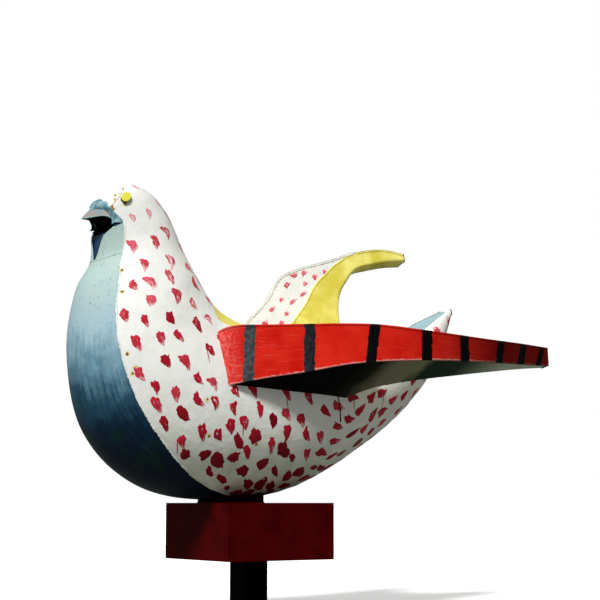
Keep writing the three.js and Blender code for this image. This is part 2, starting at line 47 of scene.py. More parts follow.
# Sizes shared with the frame, in millimetres
SEAT = 0.3
SKIN = 2.0
BODY_BASE = 207.3
RIM_SHEET = 2.5
RIM_LIP = 1.5
BEAK_SHEET = 1.6
TAIL_LAP = 8
EYE_RADII = 10, 8.25, 5
EYE_TILT = math.radians(35)
PLINTH_SIDE, PLINTH_LOW, PLINTH_TOP, PLINTH_SHEET = 225, 100.3, 202.3, 3.15
COLLAR_SIDE, COLLAR_X = 88, -40
POST_SIDE = 50

# Body stations from the tail end to the face, as in the frame: a point of the back line and a
# point of the keel line, each as distance to the rear and height above the keel, then the half
# width and how far the back is dished
STATIONS = [
    ("tail end", (477, 397), (474, 366), 22, 0.5),
    ("tail", (424, 383), (450, 312), 46, 0.6),
    ("tail root", (350, 354), (404, 240), 74, 0.4),
    ("rump", (255, 328), (324, 162), 102, 0.15),
    ("rear", (150, 316), (208, 84), 124, 0),
    ("middle", (40, 316), (80, 22), 134, 0),
    ("keel", (-46, 330), (-66, 0), 136, 0),
    ("low breast", (-94, 354), (-226, 24), 133, 0),
    ("breast", (-122, 390), (-328, 112), 123, 0),
    ("crop", (-142, 424), (-364, 252), 106, 0),
    ("neck", (-158, 456), (-352, 366), 82, 0),
    ("throat", (-171, 484), (-326, 418), 70, 0),
    ("jaw", (-188, 514), (-326, 458), 63, 0),
    ("head", (-221, 550), (-331, 486), 56, 0),
    ("crown", (-266, 564), (-327, 495), 49, 0),
    ("brow", (-304, 549), (-322, 501), 37, 0),
    ("face", (-319, 528), (-323, 508), 22, 0),
]
LAST = len(STATIONS) - 1


def station(name):
    return [entry[0] for entry in STATIONS].index(name)


# Curves and surfaces of the frame


def size_of(vectors):
    return np.linalg.norm(vectors, axis=-1)


def unit(vectors):
    return vectors / size_of(vectors)[..., None]


class Curve:
    """Centripetal Catmull-Rom curve through points, read at t from 0 to 1."""

    def __init__(self, points):
        p = np.array(points, float)
        p = np.vstack([2 * p[0] - p[1], p, 2 * p[-1] - p[-2]])
        step = np.linalg.norm(np.diff(p, axis=0), axis=1) ** 0.5
        d0, d1, d2 = (step[i:len(step) - 2 + i, None] for i in range(3))
        d1 = np.where(d1 < 1e-4, 1, d1)
        d0 = np.where(d0 < 1e-4, d1, d0)
        d2 = np.where(d2 < 1e-4, d1, d2)
        p0, p1, p2, p3 = (p[i:len(p) - 3 + i] for i in range(4))
        self.start, self.end = p1, p2
        self.leave = ((p1 - p0) / d0 - (p2 - p0) / (d0 + d1) + (p2 - p1) / d1) * d1
        self.arrive = ((p2 - p1) / d1 - (p3 - p1) / (d1 + d2) + (p3 - p2) / d2) * d1

    def __call__(self, t):
        way = np.clip(np.asarray(t, float), 0, 1) * len(self.start)
        i = np.minimum(way.astype(int), len(self.start) - 1)
        w = (way - i)[..., None]
        a, b, m0, m1 = self.start[i], self.end[i], self.leave[i], self.arrive[i]
        return (a + m0 * w + (3 * (b - a) - 2 * m0 - m1) * w ** 2
                + (2 * (a - b) + m0 + m1) * w ** 3)

    def way(self, t):
        """Unit direction along the curve."""
        step = 1e-4
        return unit(self(np.minimum(t + step, 1)) - self(np.maximum(t - step, 0)))


def blend(a, b, share):
    return a + (b - a) * np.asarray(share)[..., None]


def span(start, stop, s):
    return start + (stop - start) * s


BACK = Curve([(back[0], half, back[1] + BODY_BASE) for _, back, _, half, _ in STATIONS])
FRONT = Curve([(front[0], dish, front[1] + BODY_BASE) for _, _, front, _, dish in STATIONS])


def surface(u, v):
    """The body's plain form; v is 0 on the keel, pi on the back and negative on the left."""
    u, v = np.broadcast_arrays(np.asarray(u, float), np.asarray(v, float))
    back, front = BACK(u / LAST), FRONT(u / LAST)
    up = -np.cos(v)
    raised = (up + 1) / 2 - 0.5 * front[..., 1] * np.maximum(0, up) ** 4
    x = front[..., 0] + (back[..., 0] - front[..., 0]) * raised
    z = front[..., 2] + (back[..., 2] - front[..., 2]) * raised
    return np.stack([x, back[..., 1] * np.sin(v), z], axis=-1)


def surface_frame(u, v):
    """Point, tangents along u and v, and outward normal of the plain form."""
    u, v = np.broadcast_arrays(np.asarray(u, float), np.asarray(v, float))
    step = 0.02
    low, high = np.maximum(u - step, 0), np.minimum(u + step, LAST)
    along_u = (surface(high, v) - surface(low, v)) / (high - low)[..., None]
    along_v = (surface(u, v + step) - surface(u, v - step)) / (2 * step)
    return surface(u, v), along_u, along_v, unit(np.cross(along_u, along_v))


def dents(point):
    """Slow unevenness of sheet that was bent by hand, in mm."""
    x, y, z = (point[..., i] for i in range(3))
    return (0.35 * np.sin(x / 31 + 1) * np.sin(z / 27 + y / 45)
            + 0.2 * np.sin(x / 17 + z / 23 + y / 19))


def shell(u, v, distance=0.0):
    """Point of the dented skin, moved outwards by a distance."""
    point, _, _, normal = surface_frame(u, v)
    return point + normal * (distance + dents(point))[..., None]


def girth(u, v):
    """Millimetres per radian of v."""
    return size_of(surface_frame(u, v)[2])


def value_along(pairs):
    """Smooth value along the body through a short list of (u, value) pairs, as in the frame."""
    us = np.array([pair[0] for pair in pairs], float)
    vs = np.array([pair[1] for pair in pairs], float)
    last = len(us) - 1
    before = np.maximum(np.arange(last + 1) - 1, 0)
    after = np.minimum(np.arange(last + 1) + 1, last)
    slope = (vs[after] - vs[before]) / (us[after] - us[before])

    def value(u):
        at = np.clip(np.asarray(u, float), us[0], us[-1])
        i = np.clip(np.searchsorted(us, at, side="left") - 1, 0, last - 1)
        gap = us[i + 1] - us[i]
        t = (at - us[i]) / gap
        rise = t * t * (3 - 2 * t)
        lead = t * (1 - t) ** 2 * gap * slope[i]
        tail = t * t * (t - 1) * gap * slope[i + 1]
        return vs[i] + (vs[i + 1] - vs[i]) * rise + lead + tail

    return value


SADDLE_START = station("tail root")
SADDLE_END = station("low breast") + 1 / 3
BREAST_START = station("keel") - 1 / 3
THROAT = station("throat")
MOUTH = station("jaw") + 1 / 3
FOREHEAD = station("crown") + 1 / 3
EYE_PLACE = (station("head") + 0.7, 1.55)
breast_seam = value_along([
    (BREAST_START, 0.12), (station("keel"), 0.3), (station("low breast"), 0.76),
    (station("breast"), 0.93), (station("crop"), 0.92), (station("neck"), 0.98),
    (THROAT, 0.9), (MOUTH, 1.04), (station("head"), 0.94), (station("crown"), 0.94),
    (station("brow"), 1.1), (LAST, 1.9),
])
back_seam = value_along([
    (0, math.pi - 0.75), (station("tail root"), math.pi - 0.85),
    (station("rear"), math.pi - 0.55), (station("keel"), math.pi - 0.45),
    (SADDLE_END, math.pi - 0.015),
])
notch_seam = value_along([(THROAT, 0.06), (station("jaw"), 0.42), (MOUTH, 0.8)])


def flank_low(u):
    return np.where(u < BREAST_START, 0.0, breast_seam(u))


def flank_high(u):
    return np.where(u < SADDLE_END, back_seam(u), math.pi)


def blue_reach(u, v):
    """Distance in mm inside the breast's blue paint, negative outside it."""
    limit = breast_seam(u) - 0.6 * np.maximum(BREAST_START - u, 0)
    return (limit - np.abs(v)) * girth(u, limit)


def yellow_reach(u, v):
    """Distance in mm inside the saddle's yellow paint, which runs forward over the flanks."""
    width = np.interp(u, SADDLE_END + np.array([-2.2, -0.9, -0.1, 0.06, 0.16, 0.2]),
                      (0.4, 0.63, 0.74, 0.68, 0.4, -0.3))
    off_top = np.abs(math.pi - np.abs(v))
    return (width - off_top) * girth(u, math.pi - width)


# Mesh helpers


def add_object(name, data):
    made = bpy.data.objects.new(name, data)
    bpy.context.scene.collection.objects.link(made)
    return made


def finish_piece(bm, name, materials, nodes=(), bevel=0.0):
    """Turns a bmesh in metres into a piece of the root body that stands for nodes."""
    mesh = bpy.data.meshes.new(name)
    bm.to_mesh(mesh)
    bm.free()
    piece = add_object(name, mesh)
    for material in materials:
        mesh.materials.append(material)
    mesh.shade_smooth()
    if bevel:
        soften(piece, bevel)
    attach(piece, "root")
    if nodes:
        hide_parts(*nodes)
    return piece


def soften(piece, width):
    edge = piece.modifiers.new("soft edges", "BEVEL")
    edge.width = width * MM
    edge.segments = 2
    edge.limit_method = "ANGLE"
    edge.angle_limit = math.radians(40)
    edge.harden_normals = True


def add_grid(bm, rows, columns, place, paint=None, marks=None):
    """Adds a grid at place(s, f) in mm, with its paint map in metres and its paint marks in mm."""
    verts = bmesh.ops.create_grid(bm, x_segments=rows, y_segments=columns, size=1)["verts"]
    s = np.array([(vert.co.x + 1) / 2 for vert in verts])
    f = np.array([(vert.co.y + 1) / 2 for vert in verts])
    points = place(s, f) * MM
    spots = paint(s, f) if paint else np.stack([s, f], axis=-1)
    values = marks(s, f) if marks else {}
    uv = bm.loops.layers.uv["paint"]
    layers = [(bm.verts.layers.float[name], value) for name, value in values.items()]
    for i, vert in enumerate(verts):
        vert.co = points[i]
        for layer, value in layers:
            vert[layer] = value[i]
        for loop in vert.link_loops:
            loop[uv].uv = spots[i]
    return verts


def new_bmesh(*marks):
    bm = bmesh.new()
    bm.loops.layers.uv.new("paint")
    for name in marks:
        bm.verts.layers.float.new(name)
    return bm


def plate(name, rows, columns, outer, inner, material, node, paint=None, marks=None, bevel=0.5):
    """Closed sheet between two surfaces that stands for a node, bare on its inner side."""
    bm = new_bmesh("edge", "up", "down")
    for place in (outer, inner):
        verts = add_grid(bm, rows, columns, place, paint, marks)
    for face in {face for vert in verts for face in vert.link_faces}:
        face.material_index = 1
    rims = [edge for edge in bm.edges if edge.is_boundary]
    walls = set(bmesh.ops.bridge_loops(bm, edges=rims)["faces"])
    uv = bm.loops.layers.uv["paint"]
    for loop in (loop for wall in walls for loop in wall.loops):
        known = next(other for other in loop.vert.link_loops if other.face not in walls)
        loop[uv].uv = known[uv].uv
    bmesh.ops.recalc_face_normals(bm, faces=bm.faces)
    finish_piece(bm, name, [material, mill_scale_with_painted_shade], [node], bevel)


def along_path(values):
    """Reads a list of points or directions at s from 0 to 1."""
    values = np.array(values, float)

    def read(s):
        way = np.clip(s, 0, 1) * (len(values) - 1)
        i = np.minimum(way.astype(int), len(values) - 2)
        return blend(values[i], values[i + 1], way - i)
    return read


# A mark in mm that says that a paint's edge is nowhere near
FAR = 99.0

# Rows of a bead and the waves of its two ripples, in mm, then the size of a plain bead
BEAD_STEP = 1.6
BEAD_RIPPLES = 2.6, 7.1
SEAM_BEAD = 4.5, 0.8


def bead(name, points, normals, width, height, material, blue=0, sink=0.4, ripple=0.15):
    """Weld bead along a seam: a low rippled ridge whose underside lies in the sheet. Blue is the
    side of it that the breast's blue paint reaches: 1 or -1, 0 for none and None for all."""
    sides = unit(np.cross(normals, np.gradient(points, axis=0)))
    spot, up, side = (along_path(values) for values in (points, normals, sides))
    length = float(np.sum(size_of(np.diff(points, axis=0))))
    quick, slow = BEAD_RIPPLES

    def place(s, f):
        turn = 2 * math.pi * f
        drops = 1 + ripple * np.sin(s * length / quick) * np.sin(s * length / slow + 1)
        taper = np.clip(np.minimum(s, 1 - s) * length / width, 0, 1) ** 0.5
        across = np.cos(turn) * width / 2 * taper * drops
        raised = np.sin(turn) * height * taper * drops - sink * np.maximum(0, -np.sin(turn))
        return spot(s) + side(s) * across[..., None] + up(s) * raised[..., None]

    def marks(s, f):
        flat = FAR if blue is None else -FAR
        edge = blue * np.cos(2 * math.pi * f) * width / 2 if blue else np.full_like(f, flat)
        return {"edge": edge, "down": np.full_like(f, -FAR)}

    def paint(s, f):
        return np.stack([s * length, f * 3 * width], axis=-1) * MM

    bm = new_bmesh("edge", "up", "down")
    rows = int(np.clip(length / BEAD_STEP, 12, 400))
    add_grid(bm, rows, 10, place, paint, marks)
    bmesh.ops.remove_doubles(bm, verts=bm.verts, dist=1e-6)
    bmesh.ops.recalc_face_normals(bm, faces=bm.faces)
    finish_piece(bm, name, [material])


def skin_bead(name, u, v, width, height, material, lift=0.0, **kind):
    """Weld bead along a line on the body."""
    bead(name, shell(u, v, lift), surface_frame(u, v)[3], width, height, material, **kind)


# Materials


def linear(code):
    """sRGB hex to linear RGBA."""
    parts = [int(code[i:i + 2], 16) / 255 for i in (1, 3, 5)]
    return [c / 12.92 if c <= 0.04045 else ((c + 0.055) / 1.055) ** 2.4 for c in parts] + [1]


def output(value):
    """A node stands for its first live output."""
    if isinstance(value, bpy.types.Node):
        return next(socket for socket in value.outputs if socket.enabled)
    return value


def add_node(tree, kind, inputs=None, **settings):
    """Adds a node with its settings, and a value, node or socket per input."""
    made = tree.nodes.new(kind)
    for key, value in settings.items():
        setattr(made, key, value)
    for key, value in (inputs or {}).items():
        source = output(value)
        if isinstance(source, bpy.types.NodeSocket):
            tree.links.new(source, made.inputs[key])
        else:
            made.inputs[key].default_value = source
    return made


class Paint:
    """A material with the few building blocks that hand-brushed enamel needs."""

    def __init__(self, name, slot=None, roughness=0.45, gloss=0.2):
        self.material = bpy.data.materials.new(name)
        self.material.use_nodes = True
        self.tree = self.material.node_tree
        self.shader = self.tree.nodes["Principled BSDF"]
        self.shader.inputs["Roughness"].default_value = roughness
        self.shader.inputs["Specular IOR Level"].default_value = gloss
        self.where = self.add("ShaderNodeTexCoord").outputs["Object"]
        self.strokes = self.add("ShaderNodeUVMap", uv_map="paint").outputs["UV"]
        parts = self.add("ShaderNodeSeparateXYZ", {0: self.where})
        self.rear, self.height = parts.outputs["X"], parts.outputs["Z"]
        self.colour, self.normal = None, {}

    def add(self, kind, inputs=None, **settings):
        return add_node(self.tree, kind, inputs, **settings)

    def grain(self, size, stretch=None, detail=4, rough=0.55, shift=0.0):
        """Noise of a size in mm, stretched along the strokes if asked."""
        vector = self.strokes if stretch else self.where
        scale = 1 / (size * MM)
        factors = scale / (stretch or 1), scale, scale
        placed = self.add("ShaderNodeVectorMath", {0: vector, 1: factors, 2: (shift,) * 3},
                          operation="MULTIPLY_ADD")
        return self.add("ShaderNodeTexNoise", {"Vector": placed, "Scale": 1, "Detail": detail,
                                               "Roughness": rough})

    def math(self, operation, a, b=0.0, c=0.0):
        return self.add("ShaderNodeMath", {0: a, 1: b, 2: c}, operation=operation)

    def times(self, a, b):
        return self.math("MULTIPLY", a, b)

    def plus(self, a, b):
        return self.math("ADD", a, b)

    def minus(self, a, b):
        return self.math("SUBTRACT", a, b)

    def scaled(self, value, factor, more):
        return self.math("MULTIPLY_ADD", value, factor, more)

    def even(self, value, low, high, **kind):
        """0 at low and 1 at high."""
        return self.add("ShaderNodeMapRange", {"Value": value, "From Min": low, "From Max": high},
                        **kind)

    def step(self, value, low, high):
        """0 at low and 1 at high, with a soft start and end."""
        return self.even(value, low, high, interpolation_type="SMOOTHSTEP")

    def patches(self, size, low, high, **kind):
        """1 where noise of a size in mm is past high, 0 where it is short of low."""
        return self.step(self.grain(size, **kind), low, high)

    def wander(self, size, reach, detail=4):
        """Noise of a size in mm that moves an edge by a reach in mm at most."""
        return self.scaled(self.grain(size, detail=detail), 2 * reach, -reach)

    def ramp(self, share, tones):
        """Tones at places along a share from 0 to 1."""
        made = self.add("ShaderNodeValToRGB", {"Fac": share})
        points = made.color_ramp.elements
        for i, (place, tone) in enumerate(tones):
            point = points[i] if i < len(points) else points.new(place)
            point.position, point.color = place, linear(tone)
        return made

    def over(self, base, colour, share, strength=None):
        """A colour laid over another by a share, weakened to a strength if asked."""
        if strength is not None:
            share = self.times(share, strength)
        under, top = (linear(tone) if isinstance(tone, str) else tone for tone in (base, colour))
        return self.add("ShaderNodeMix", {"Factor": share, "A": under, "B": top},
                        data_type="RGBA")

    def lay(self, colour, share, strength=None):
        """Lays a colour over what is painted so far."""
        self.colour = self.over(self.colour, colour, share, strength)

    def near(self, places):
        """Distance in mm to the nearest of some places in mm."""
        nearest = 1.0
        for place in places:
            gap = self.add("ShaderNodeVectorMath", {0: self.where, 1: Vector(place) * MM},
                           operation="DISTANCE").outputs["Value"]
            nearest = self.math("MINIMUM", nearest, gap)
        return self.times(nearest, 1 / MM)

    def attribute(self, name):
        return self.add("ShaderNodeAttribute", attribute_name=name).outputs["Fac"]

    def relief(self, height, depth):
        """Adds relief of a depth in mm to what there is."""
        inputs = {"Height": height, "Distance": depth * MM, **self.normal}
        self.normal = {"Normal": self.add("ShaderNodeBump", inputs)}

    def finish(self):
        for key, value in {"Base Color": self.colour, **self.normal}.items():
            self.tree.links.new(output(value), self.shader.inputs[key])
        return self.material


# Places of the rust spots on the flanks, as u and v of the body
RUST_SPOTS = [(10.14, 1.01), (9.77, 0.92), (9.61, 1.05), (8.61, 1.01), (8.38, 1.06), (8.34, 1.0),
              (7.01, 1.46), (6.75, 1.14), (6.02, 1.15), (13.3, 1.34), (12.2, 0.94), (14.4, 1.4),
              (14.0, 1.0), (14.7, 1.75), (13.5, 0.95), (0.04, 2.2), (0.04, 1.6)]


def white_coat(paint):
    """White alkyd enamel, brushed on thickly outdoors years ago. It gives a soft warm white with
    brush marks, a yellow-green tint low down that is painted reflection of green light from
    below, and rust that bleeds through in spots."""
    paint.colour = paint.over("#edede7", "#dededb", paint.patches(70, 0.35, 0.75))
    # Yellow-green patches towards the bottom: painted reflection of green light from below
    low = paint.step(paint.height, (BODY_BASE + 190) * MM, (BODY_BASE + 10) * MM)
    painted_ground_reflection = paint.times(low, paint.patches(38, 0.3, 0.7, detail=6))
    paint.lay("#b0bd9c", painted_ground_reflection, 0.75)
    paint.lay("#8a8a80", paint.patches(2.6, 0.735, 0.78, detail=2), 0.7)
    places = [shell(u, side * v) for u, v in RUST_SPOTS for side in (-1, 1)]
    eaten = paint.times(paint.grain(4, detail=6, rough=0.7), -13.0)
    gap = paint.plus(paint.near(places), eaten)
    paint.lay("#e0c682", paint.step(gap, -0.5, -4.5))
    paint.lay("#6a4012", paint.step(gap, -3.4, -5.2))
    paint.relief(paint.grain(3.2, stretch=14, detail=3), 0.4)
    paint.relief(paint.grain(15), 0.9)
    return paint.colour


def blue_coat(paint):
    """Blue enamel from pale at the throat to nearly black under the belly, with the strokes of a
    wide dry brush left in it. The darkening downwards is partly the paint's own grading towards
    navy and partly painted shade of the underside."""
    cloudy, streaky = 0.16, 0.09
    streak = paint.grain(5, stretch=9, rough=0.6, shift=7)
    cloud = paint.grain(60, detail=6, rough=0.65)
    wander = paint.scaled(cloud, cloudy, paint.times(streak, streaky))
    belly = BODY_BASE * MM + (cloudy + streaky) / 2
    share = paint.even(paint.plus(paint.height, wander), belly, belly + 0.52)
    # The ramp by height is partly the blue's own gradient and partly painted shade under the belly
    paint.colour = paint.ramp(share, [
        (0.0, "#03101f"), (0.14, "#04152a"), (0.24, "#07253a"), (0.35, "#254a5f"),
        (0.455, "#5f8597"), (0.56, "#98b4bf"), (0.8, "#a8bcb4"), (1.0, "#9db6b3")])
    thin = paint.times(paint.patches(4, 0.55, 0.8, stretch=12, detail=5, shift=3),
                       paint.step(paint.height, 0.45, 0.75))
    paint.lay("#c9d8d8", thin, 0.25)
    stain = paint.times(paint.patches(45, 0.5, 0.65, detail=5, shift=9),
                        paint.step(paint.height, 0.42, 0.3))
    paint.lay("#0a2a1c", stain, 0.6)
    runs = paint.patches(3.2, 0.68, 0.75, stretch=14, detail=3, shift=11)
    paint.lay("#46564e", runs, 0.45)
    specks = paint.times(paint.patches(4.4, 0.67, 0.73, detail=1, shift=5),
                         paint.step(paint.height, 0.42, 0.55))
    paint.lay("#35678a", specks, 0.75)
    paint.relief(streak, 0.3)
    return paint.colour


def body_enamel(name, slot):
    """Both coats with the brushed edge between them, and the yellow that laps over the white."""
    paint = Paint(name, slot, 0.5, 0.12)
    white, blue = white_coat(paint), blue_coat(paint)
    ragged = paint.wander(3, 2.8)
    uneven = paint.plus(ragged, paint.wander(26, 2.5, detail=2))
    edge = paint.step(paint.plus(paint.attribute("edge"), uneven), -0.35, 0.35)
    saddle = paint.step(paint.plus(paint.attribute("down"), ragged), -0.4, 0.4)
    paint.colour = paint.over(white, blue, edge)
    paint.lay("#ddd268", saddle)
    return paint.finish()


def saddle_enamel():
    """Yellow enamel brushed on in two thin coats, with the white ground showing in streaks and
    brown specks of rust."""
    paint = Paint("brushed_yellow_enamel", "yellow_paint", 0.5, 0.1)
    paint.colour = paint.over("#eae07a", "#d0c248", paint.patches(60, 0.35, 0.65, detail=5))
    paint.lay("#d8d49a", paint.patches(4, 0.6, 0.8, stretch=12), 0.5)
    paint.lay("#7a4c1c", paint.patches(4.5, 0.71, 0.76, detail=3), 0.8)
    paint.relief(paint.grain(3.5, stretch=12), 0.25)
    return paint.finish()


def patchy(name, slot, colour, patch, roughness, size=24.0, share=0.8, gloss=0.1):
    """A plain coat over steel with patches of a second tone and a little relief."""
    paint = Paint(name, slot, roughness, gloss)
    paint.relief(paint.grain(6), 0.2)
    paint.colour = paint.over(colour, patch, paint.patches(size, 0.45, 0.7, detail=6), share)
    return paint.finish()


def striped_enamel():
    """Signal red enamel over white primer with stripes of black enamel, all by flat brush. Dry
    strokes and scratches show the primer, and the corners have lost most of their paint. The
    red darkens to nearly black towards the tip. The black stripes are grey at the front, which
    is painted reflection of the sky, and a dark line under the top lip is painted shadow."""
    paint = Paint("striped_red_enamel", "red_paint", 0.45, 0.06)
    streak = paint.grain(3, stretch=16, detail=5, rough=0.6)
    paint.colour = paint.over("#cf2416", "#c01207", paint.patches(50, 0.35, 0.7))
    root = paint.scaled(paint.step(paint.rear, 0.02, -0.15), 0.6, 0.25)
    paint.lay("#d87f78", paint.times(paint.step(streak, 0.56, 0.8), root))
    paint.lay("#7c0a04", paint.step(streak, 0.42, 0.2), 0.5)
    scuffed = paint.scaled(paint.grain(9, detail=5), -9, 6.5)
    worn = paint.step(paint.minus(paint.attribute("up"), scuffed), 0.8, -0.8)
    paint.lay("#d98c86", worn, 0.8)
    # The red darkens to nearly black towards the tip
    paint.lay("#1c0000", paint.even(paint.rear, 0.17, 0.38), 0.9)
    uneven = paint.plus(paint.wander(14, 3.5, detail=3), paint.wander(2.5, 1.5, detail=3))
    # Stripes from grey at the front to black at the rear: painted reflection of the sky on the
    # front stripes
    black = paint.ramp(paint.step(paint.rear, -0.12, 0.15),
                       [(0.0, "#4c5154"), (0.5, "#1d1f25"), (1.0, "#030405")])
    black = paint.over(black, "#000000", paint.patches(7, 0.62, 0.38, detail=5, shift=4), 0.55)
    stripe = paint.step(paint.plus(paint.attribute("edge"), uneven), -0.3, 0.5)
    paint.lay(black, stripe)
    rubbed = paint.times(paint.step(paint.rear, -0.1, -0.135),
                         paint.patches(5, 0.36, 0.66, detail=6, rough=0.7, shift=2))
    paint.lay("#e58a85", rubbed, 0.5)
    nicks = paint.patches(2.2, 0.75, 0.79, stretch=3, detail=2, shift=6)
    paint.lay("#e9c9c4", nicks, 0.8)
    # Dark line about 4 mm under the top edge: painted shadow of the lip
    lip = paint.math("ABSOLUTE", paint.minus(paint.attribute("down"), 4.0))
    paint.lay("#2a0402", paint.step(lip, 1.4, 0.4), 0.7)
    paint.relief(streak, 0.15)
    return paint.finish()


def underside_coat():
    """Thin leftover olive and black paint on the sheet that nobody looks at, stained by damp, with
    painted shade and painted reflected light along it.
    """
    paint = Paint("underside_paint_stains_and_painted_light", "underside_paint", 0.7, 0.02)
    # Tones along the wing: the black at the root is painted shade and the pale olive bands are
    # painted reflected light, over the dark paint
    place = paint.scaled(paint.grain(60, detail=5), 0.06, paint.rear)
    paint.colour = paint.ramp(paint.even(place, 0.03, 0.43), [
        (0.0, "#010203"), (0.2, "#050605"), (0.33, "#1a1f16"), (0.43, "#807a64"),
        (0.55, "#858468"), (0.6, "#263629"), (0.78, "#2c3c2e"), (0.88, "#808a76"),
        (1.0, "#b8bfaa")])
    paint.lay("#4a4a3c", paint.patches(6, 0.5, 0.8, stretch=10, detail=5), 0.3)
    paint.relief(paint.grain(5, stretch=8), 0.3)
    return paint.finish()


def dab_coat():
    """Crimson enamel dabbed on with a loaded round brush. A dry dab is full at its rim and
    scraped thin inside, where the bristles dragged, and a pale one fades out at its tail."""
    paint = Paint("dabbed_crimson_enamel", "red_paint", 0.45, 0.1)
    tone, dry, chance = (paint.attribute(name) for name in ("tone", "dry", "chance"))
    parts = paint.add("ShaderNodeSeparateXYZ", {0: paint.strokes}).outputs
    drag = paint.scaled(parts["X"], 1.6, chance)
    spread = paint.scaled(parts["Y"], 5.0, chance)
    vector = paint.add("ShaderNodeCombineXYZ", {"X": drag, "Y": spread, "Z": chance})
    bristle = paint.add("ShaderNodeTexNoise", {"Vector": vector, "Scale": 1, "Detail": 3})
    out = paint.add("ShaderNodeVectorMath", {0: paint.strokes}, operation="LENGTH").outputs["Value"]
    middle = paint.scaled(paint.times(out, out), -0.75, 1.0)
    fading = paint.times(paint.step(parts["X"], -0.2, 0.8), paint.scaled(tone, -1.3, 1.3))
    bare = paint.math("MAXIMUM", paint.times(dry, middle), fading)
    limit = paint.scaled(bare, -0.42, 0.78)
    scraped = paint.step(paint.minus(bristle, limit), -0.03, 0.09)
    full = paint.ramp(tone, [(0.0, "#e0687a"), (0.5, "#b81830"), (1.0, "#760818")])
    full = paint.over(full, "#6a0614", paint.step(bristle, 0.5, 0.3), 0.5)
    pale = paint.over("#ebe6e2", "#e9b9bb", paint.step(bristle, 0.7, 0.6))
    paint.relief(bristle, 0.35)
    paint.colour = paint.over(full, pale, scraped)
    return paint.finish()


def beak_coat():
    """Blue-green enamel on the brow. The face over the mouth has been rubbed to a grey primer."""
    paint = Paint("worn_beak_enamel", "blue_paint", 0.5, 0.15)
    patch = paint.grain(9, detail=5)
    brow = paint.over("#567d86", "#86a9ac", paint.step(patch, 0.42, 0.6))
    face = paint.over("#8d847d", "#6f9096", paint.step(patch, 0.5, 0.6))
    face = paint.over(face, brow, paint.step(paint.attribute("up"), 0.6, 0.75))
    down = paint.attribute("down")
    place = paint.scaled(paint.grain(6), 0.14, down)
    paint.colour = paint.over(brow, face, paint.step(place, 0.56, 0.62))
    crease = paint.step(paint.math("ABSOLUTE", paint.minus(place, 0.57)), 0.03, 0.0)
    paint.lay("#27444b", crease, 0.7)
    paint.lay("#7ba8a2", paint.step(down, 0.93, 0.97))
    paint.relief(paint.grain(5), 0.3)
    return paint.finish()


white_enamel = body_enamel("brushed_white_enamel", "white_paint")
blue_enamel = body_enamel("brushed_blue_enamel", "blue_paint")
yellow_enamel = saddle_enamel()
striped_rim = striped_enamel()
underside_enamel = underside_coat()
crimson_dab = dab_coat()
beak_enamel = beak_coat()
tail_enamel = patchy("pale_blue_enamel", "blue_paint", "#8ba6ae", "#a3b9bd", 0.45)
navy_enamel = patchy("navy_chin_enamel", "dark_blue_paint", "#1a3450", "#264765", 0.5)
eye_yellow = patchy("eye_yellow_enamel", "yellow_paint", "#ded84e", "#cfc640", 0.35, size=8)
# The stub's side is near black
eye_side = patchy("eye_dark_side_coat", "yellow_paint", "#1a1a20", "#30303a", 0.4, size=8)
rusty_weld = patchy("rust_stained_weld", "white_paint", "#e9e4d4", "#9a6a28", 0.6, size=7,
                    share=0.9)
# The collar's maroon is made nearly black: painted shade of the belly above it
collar_maroon_in_painted_shade = patchy("collar_maroon_darkened_as_shade", "maroon_paint", "#1c0203", "#0a0000", 0.6, size=30,
                       gloss=0.02)
# The base's maroon is darker than its paint: partly painted shade of the base under the bird
maroon_with_painted_shade = patchy("maroon_with_painted_shade", "maroon_paint", "#440203", "#340001", 0.5, size=40,
                       gloss=0.02)
black_enamel = patchy("post_black_enamel", "black_paint", "#020202", "#060606", 0.5, size=40,
                      gloss=0.01)
# Bare steel and inner sides: mill scale made nearly black, partly painted shade of the hollow seen
# through the mouth
mill_scale_with_painted_shade = patchy("mill_scale_darkened_as_shade", "bare_steel", "#0b0a09", "#1c140e", 0.8, gloss=0.03)


# Body panels. Each keeps a gap to its seams in mm and one to its ends in u, and its paint map
# takes metres per u and per v.

SEAM_GAP = SEAT / 4
END_GAP = 0.004
STROKE_MAP = 0.062, 0.12


def body_panel(name, start, stop, low, high, rows, columns, material, inset=0.0):
    """Skin panel between two seams, each given as an angle along the body."""
    def angles(s, f):
        u = span(start + END_GAP, stop - END_GAP, s)
        lo = low(u) + SEAM_GAP / girth(u, low(u))
        hi = high(u) - SEAM_GAP / girth(u, high(u))
        return u, span(lo, hi, f)

    def at(depth):
        return lambda s, f: shell(*angles(s, f), -depth)

    def strokes(s, f):
        return np.stack(angles(s, f), axis=-1) * STROKE_MAP

    def marks(s, f):
        return {"edge": blue_reach(*angles(s, f)), "down": yellow_reach(*angles(s, f))}

    plate(name + "_skin", rows, columns, at(inset), at(inset + SKIN), material, name, strokes,
          marks, 0.4)


def on_side(sign, low, high):
    """The seams on the bird's left are the same angles, negative and in the opposite order."""
    return (low, high) if sign > 0 else (lambda u: -high(u), lambda u: -low(u))


def over_back(seam):
    return seam, lambda u: 2 * math.pi - seam(u)


def lapped_seam(u):
    return back_seam(u) - TAIL_LAP / girth(u, back_seam(u))


SIDES = (("left", -1), ("right", 1))


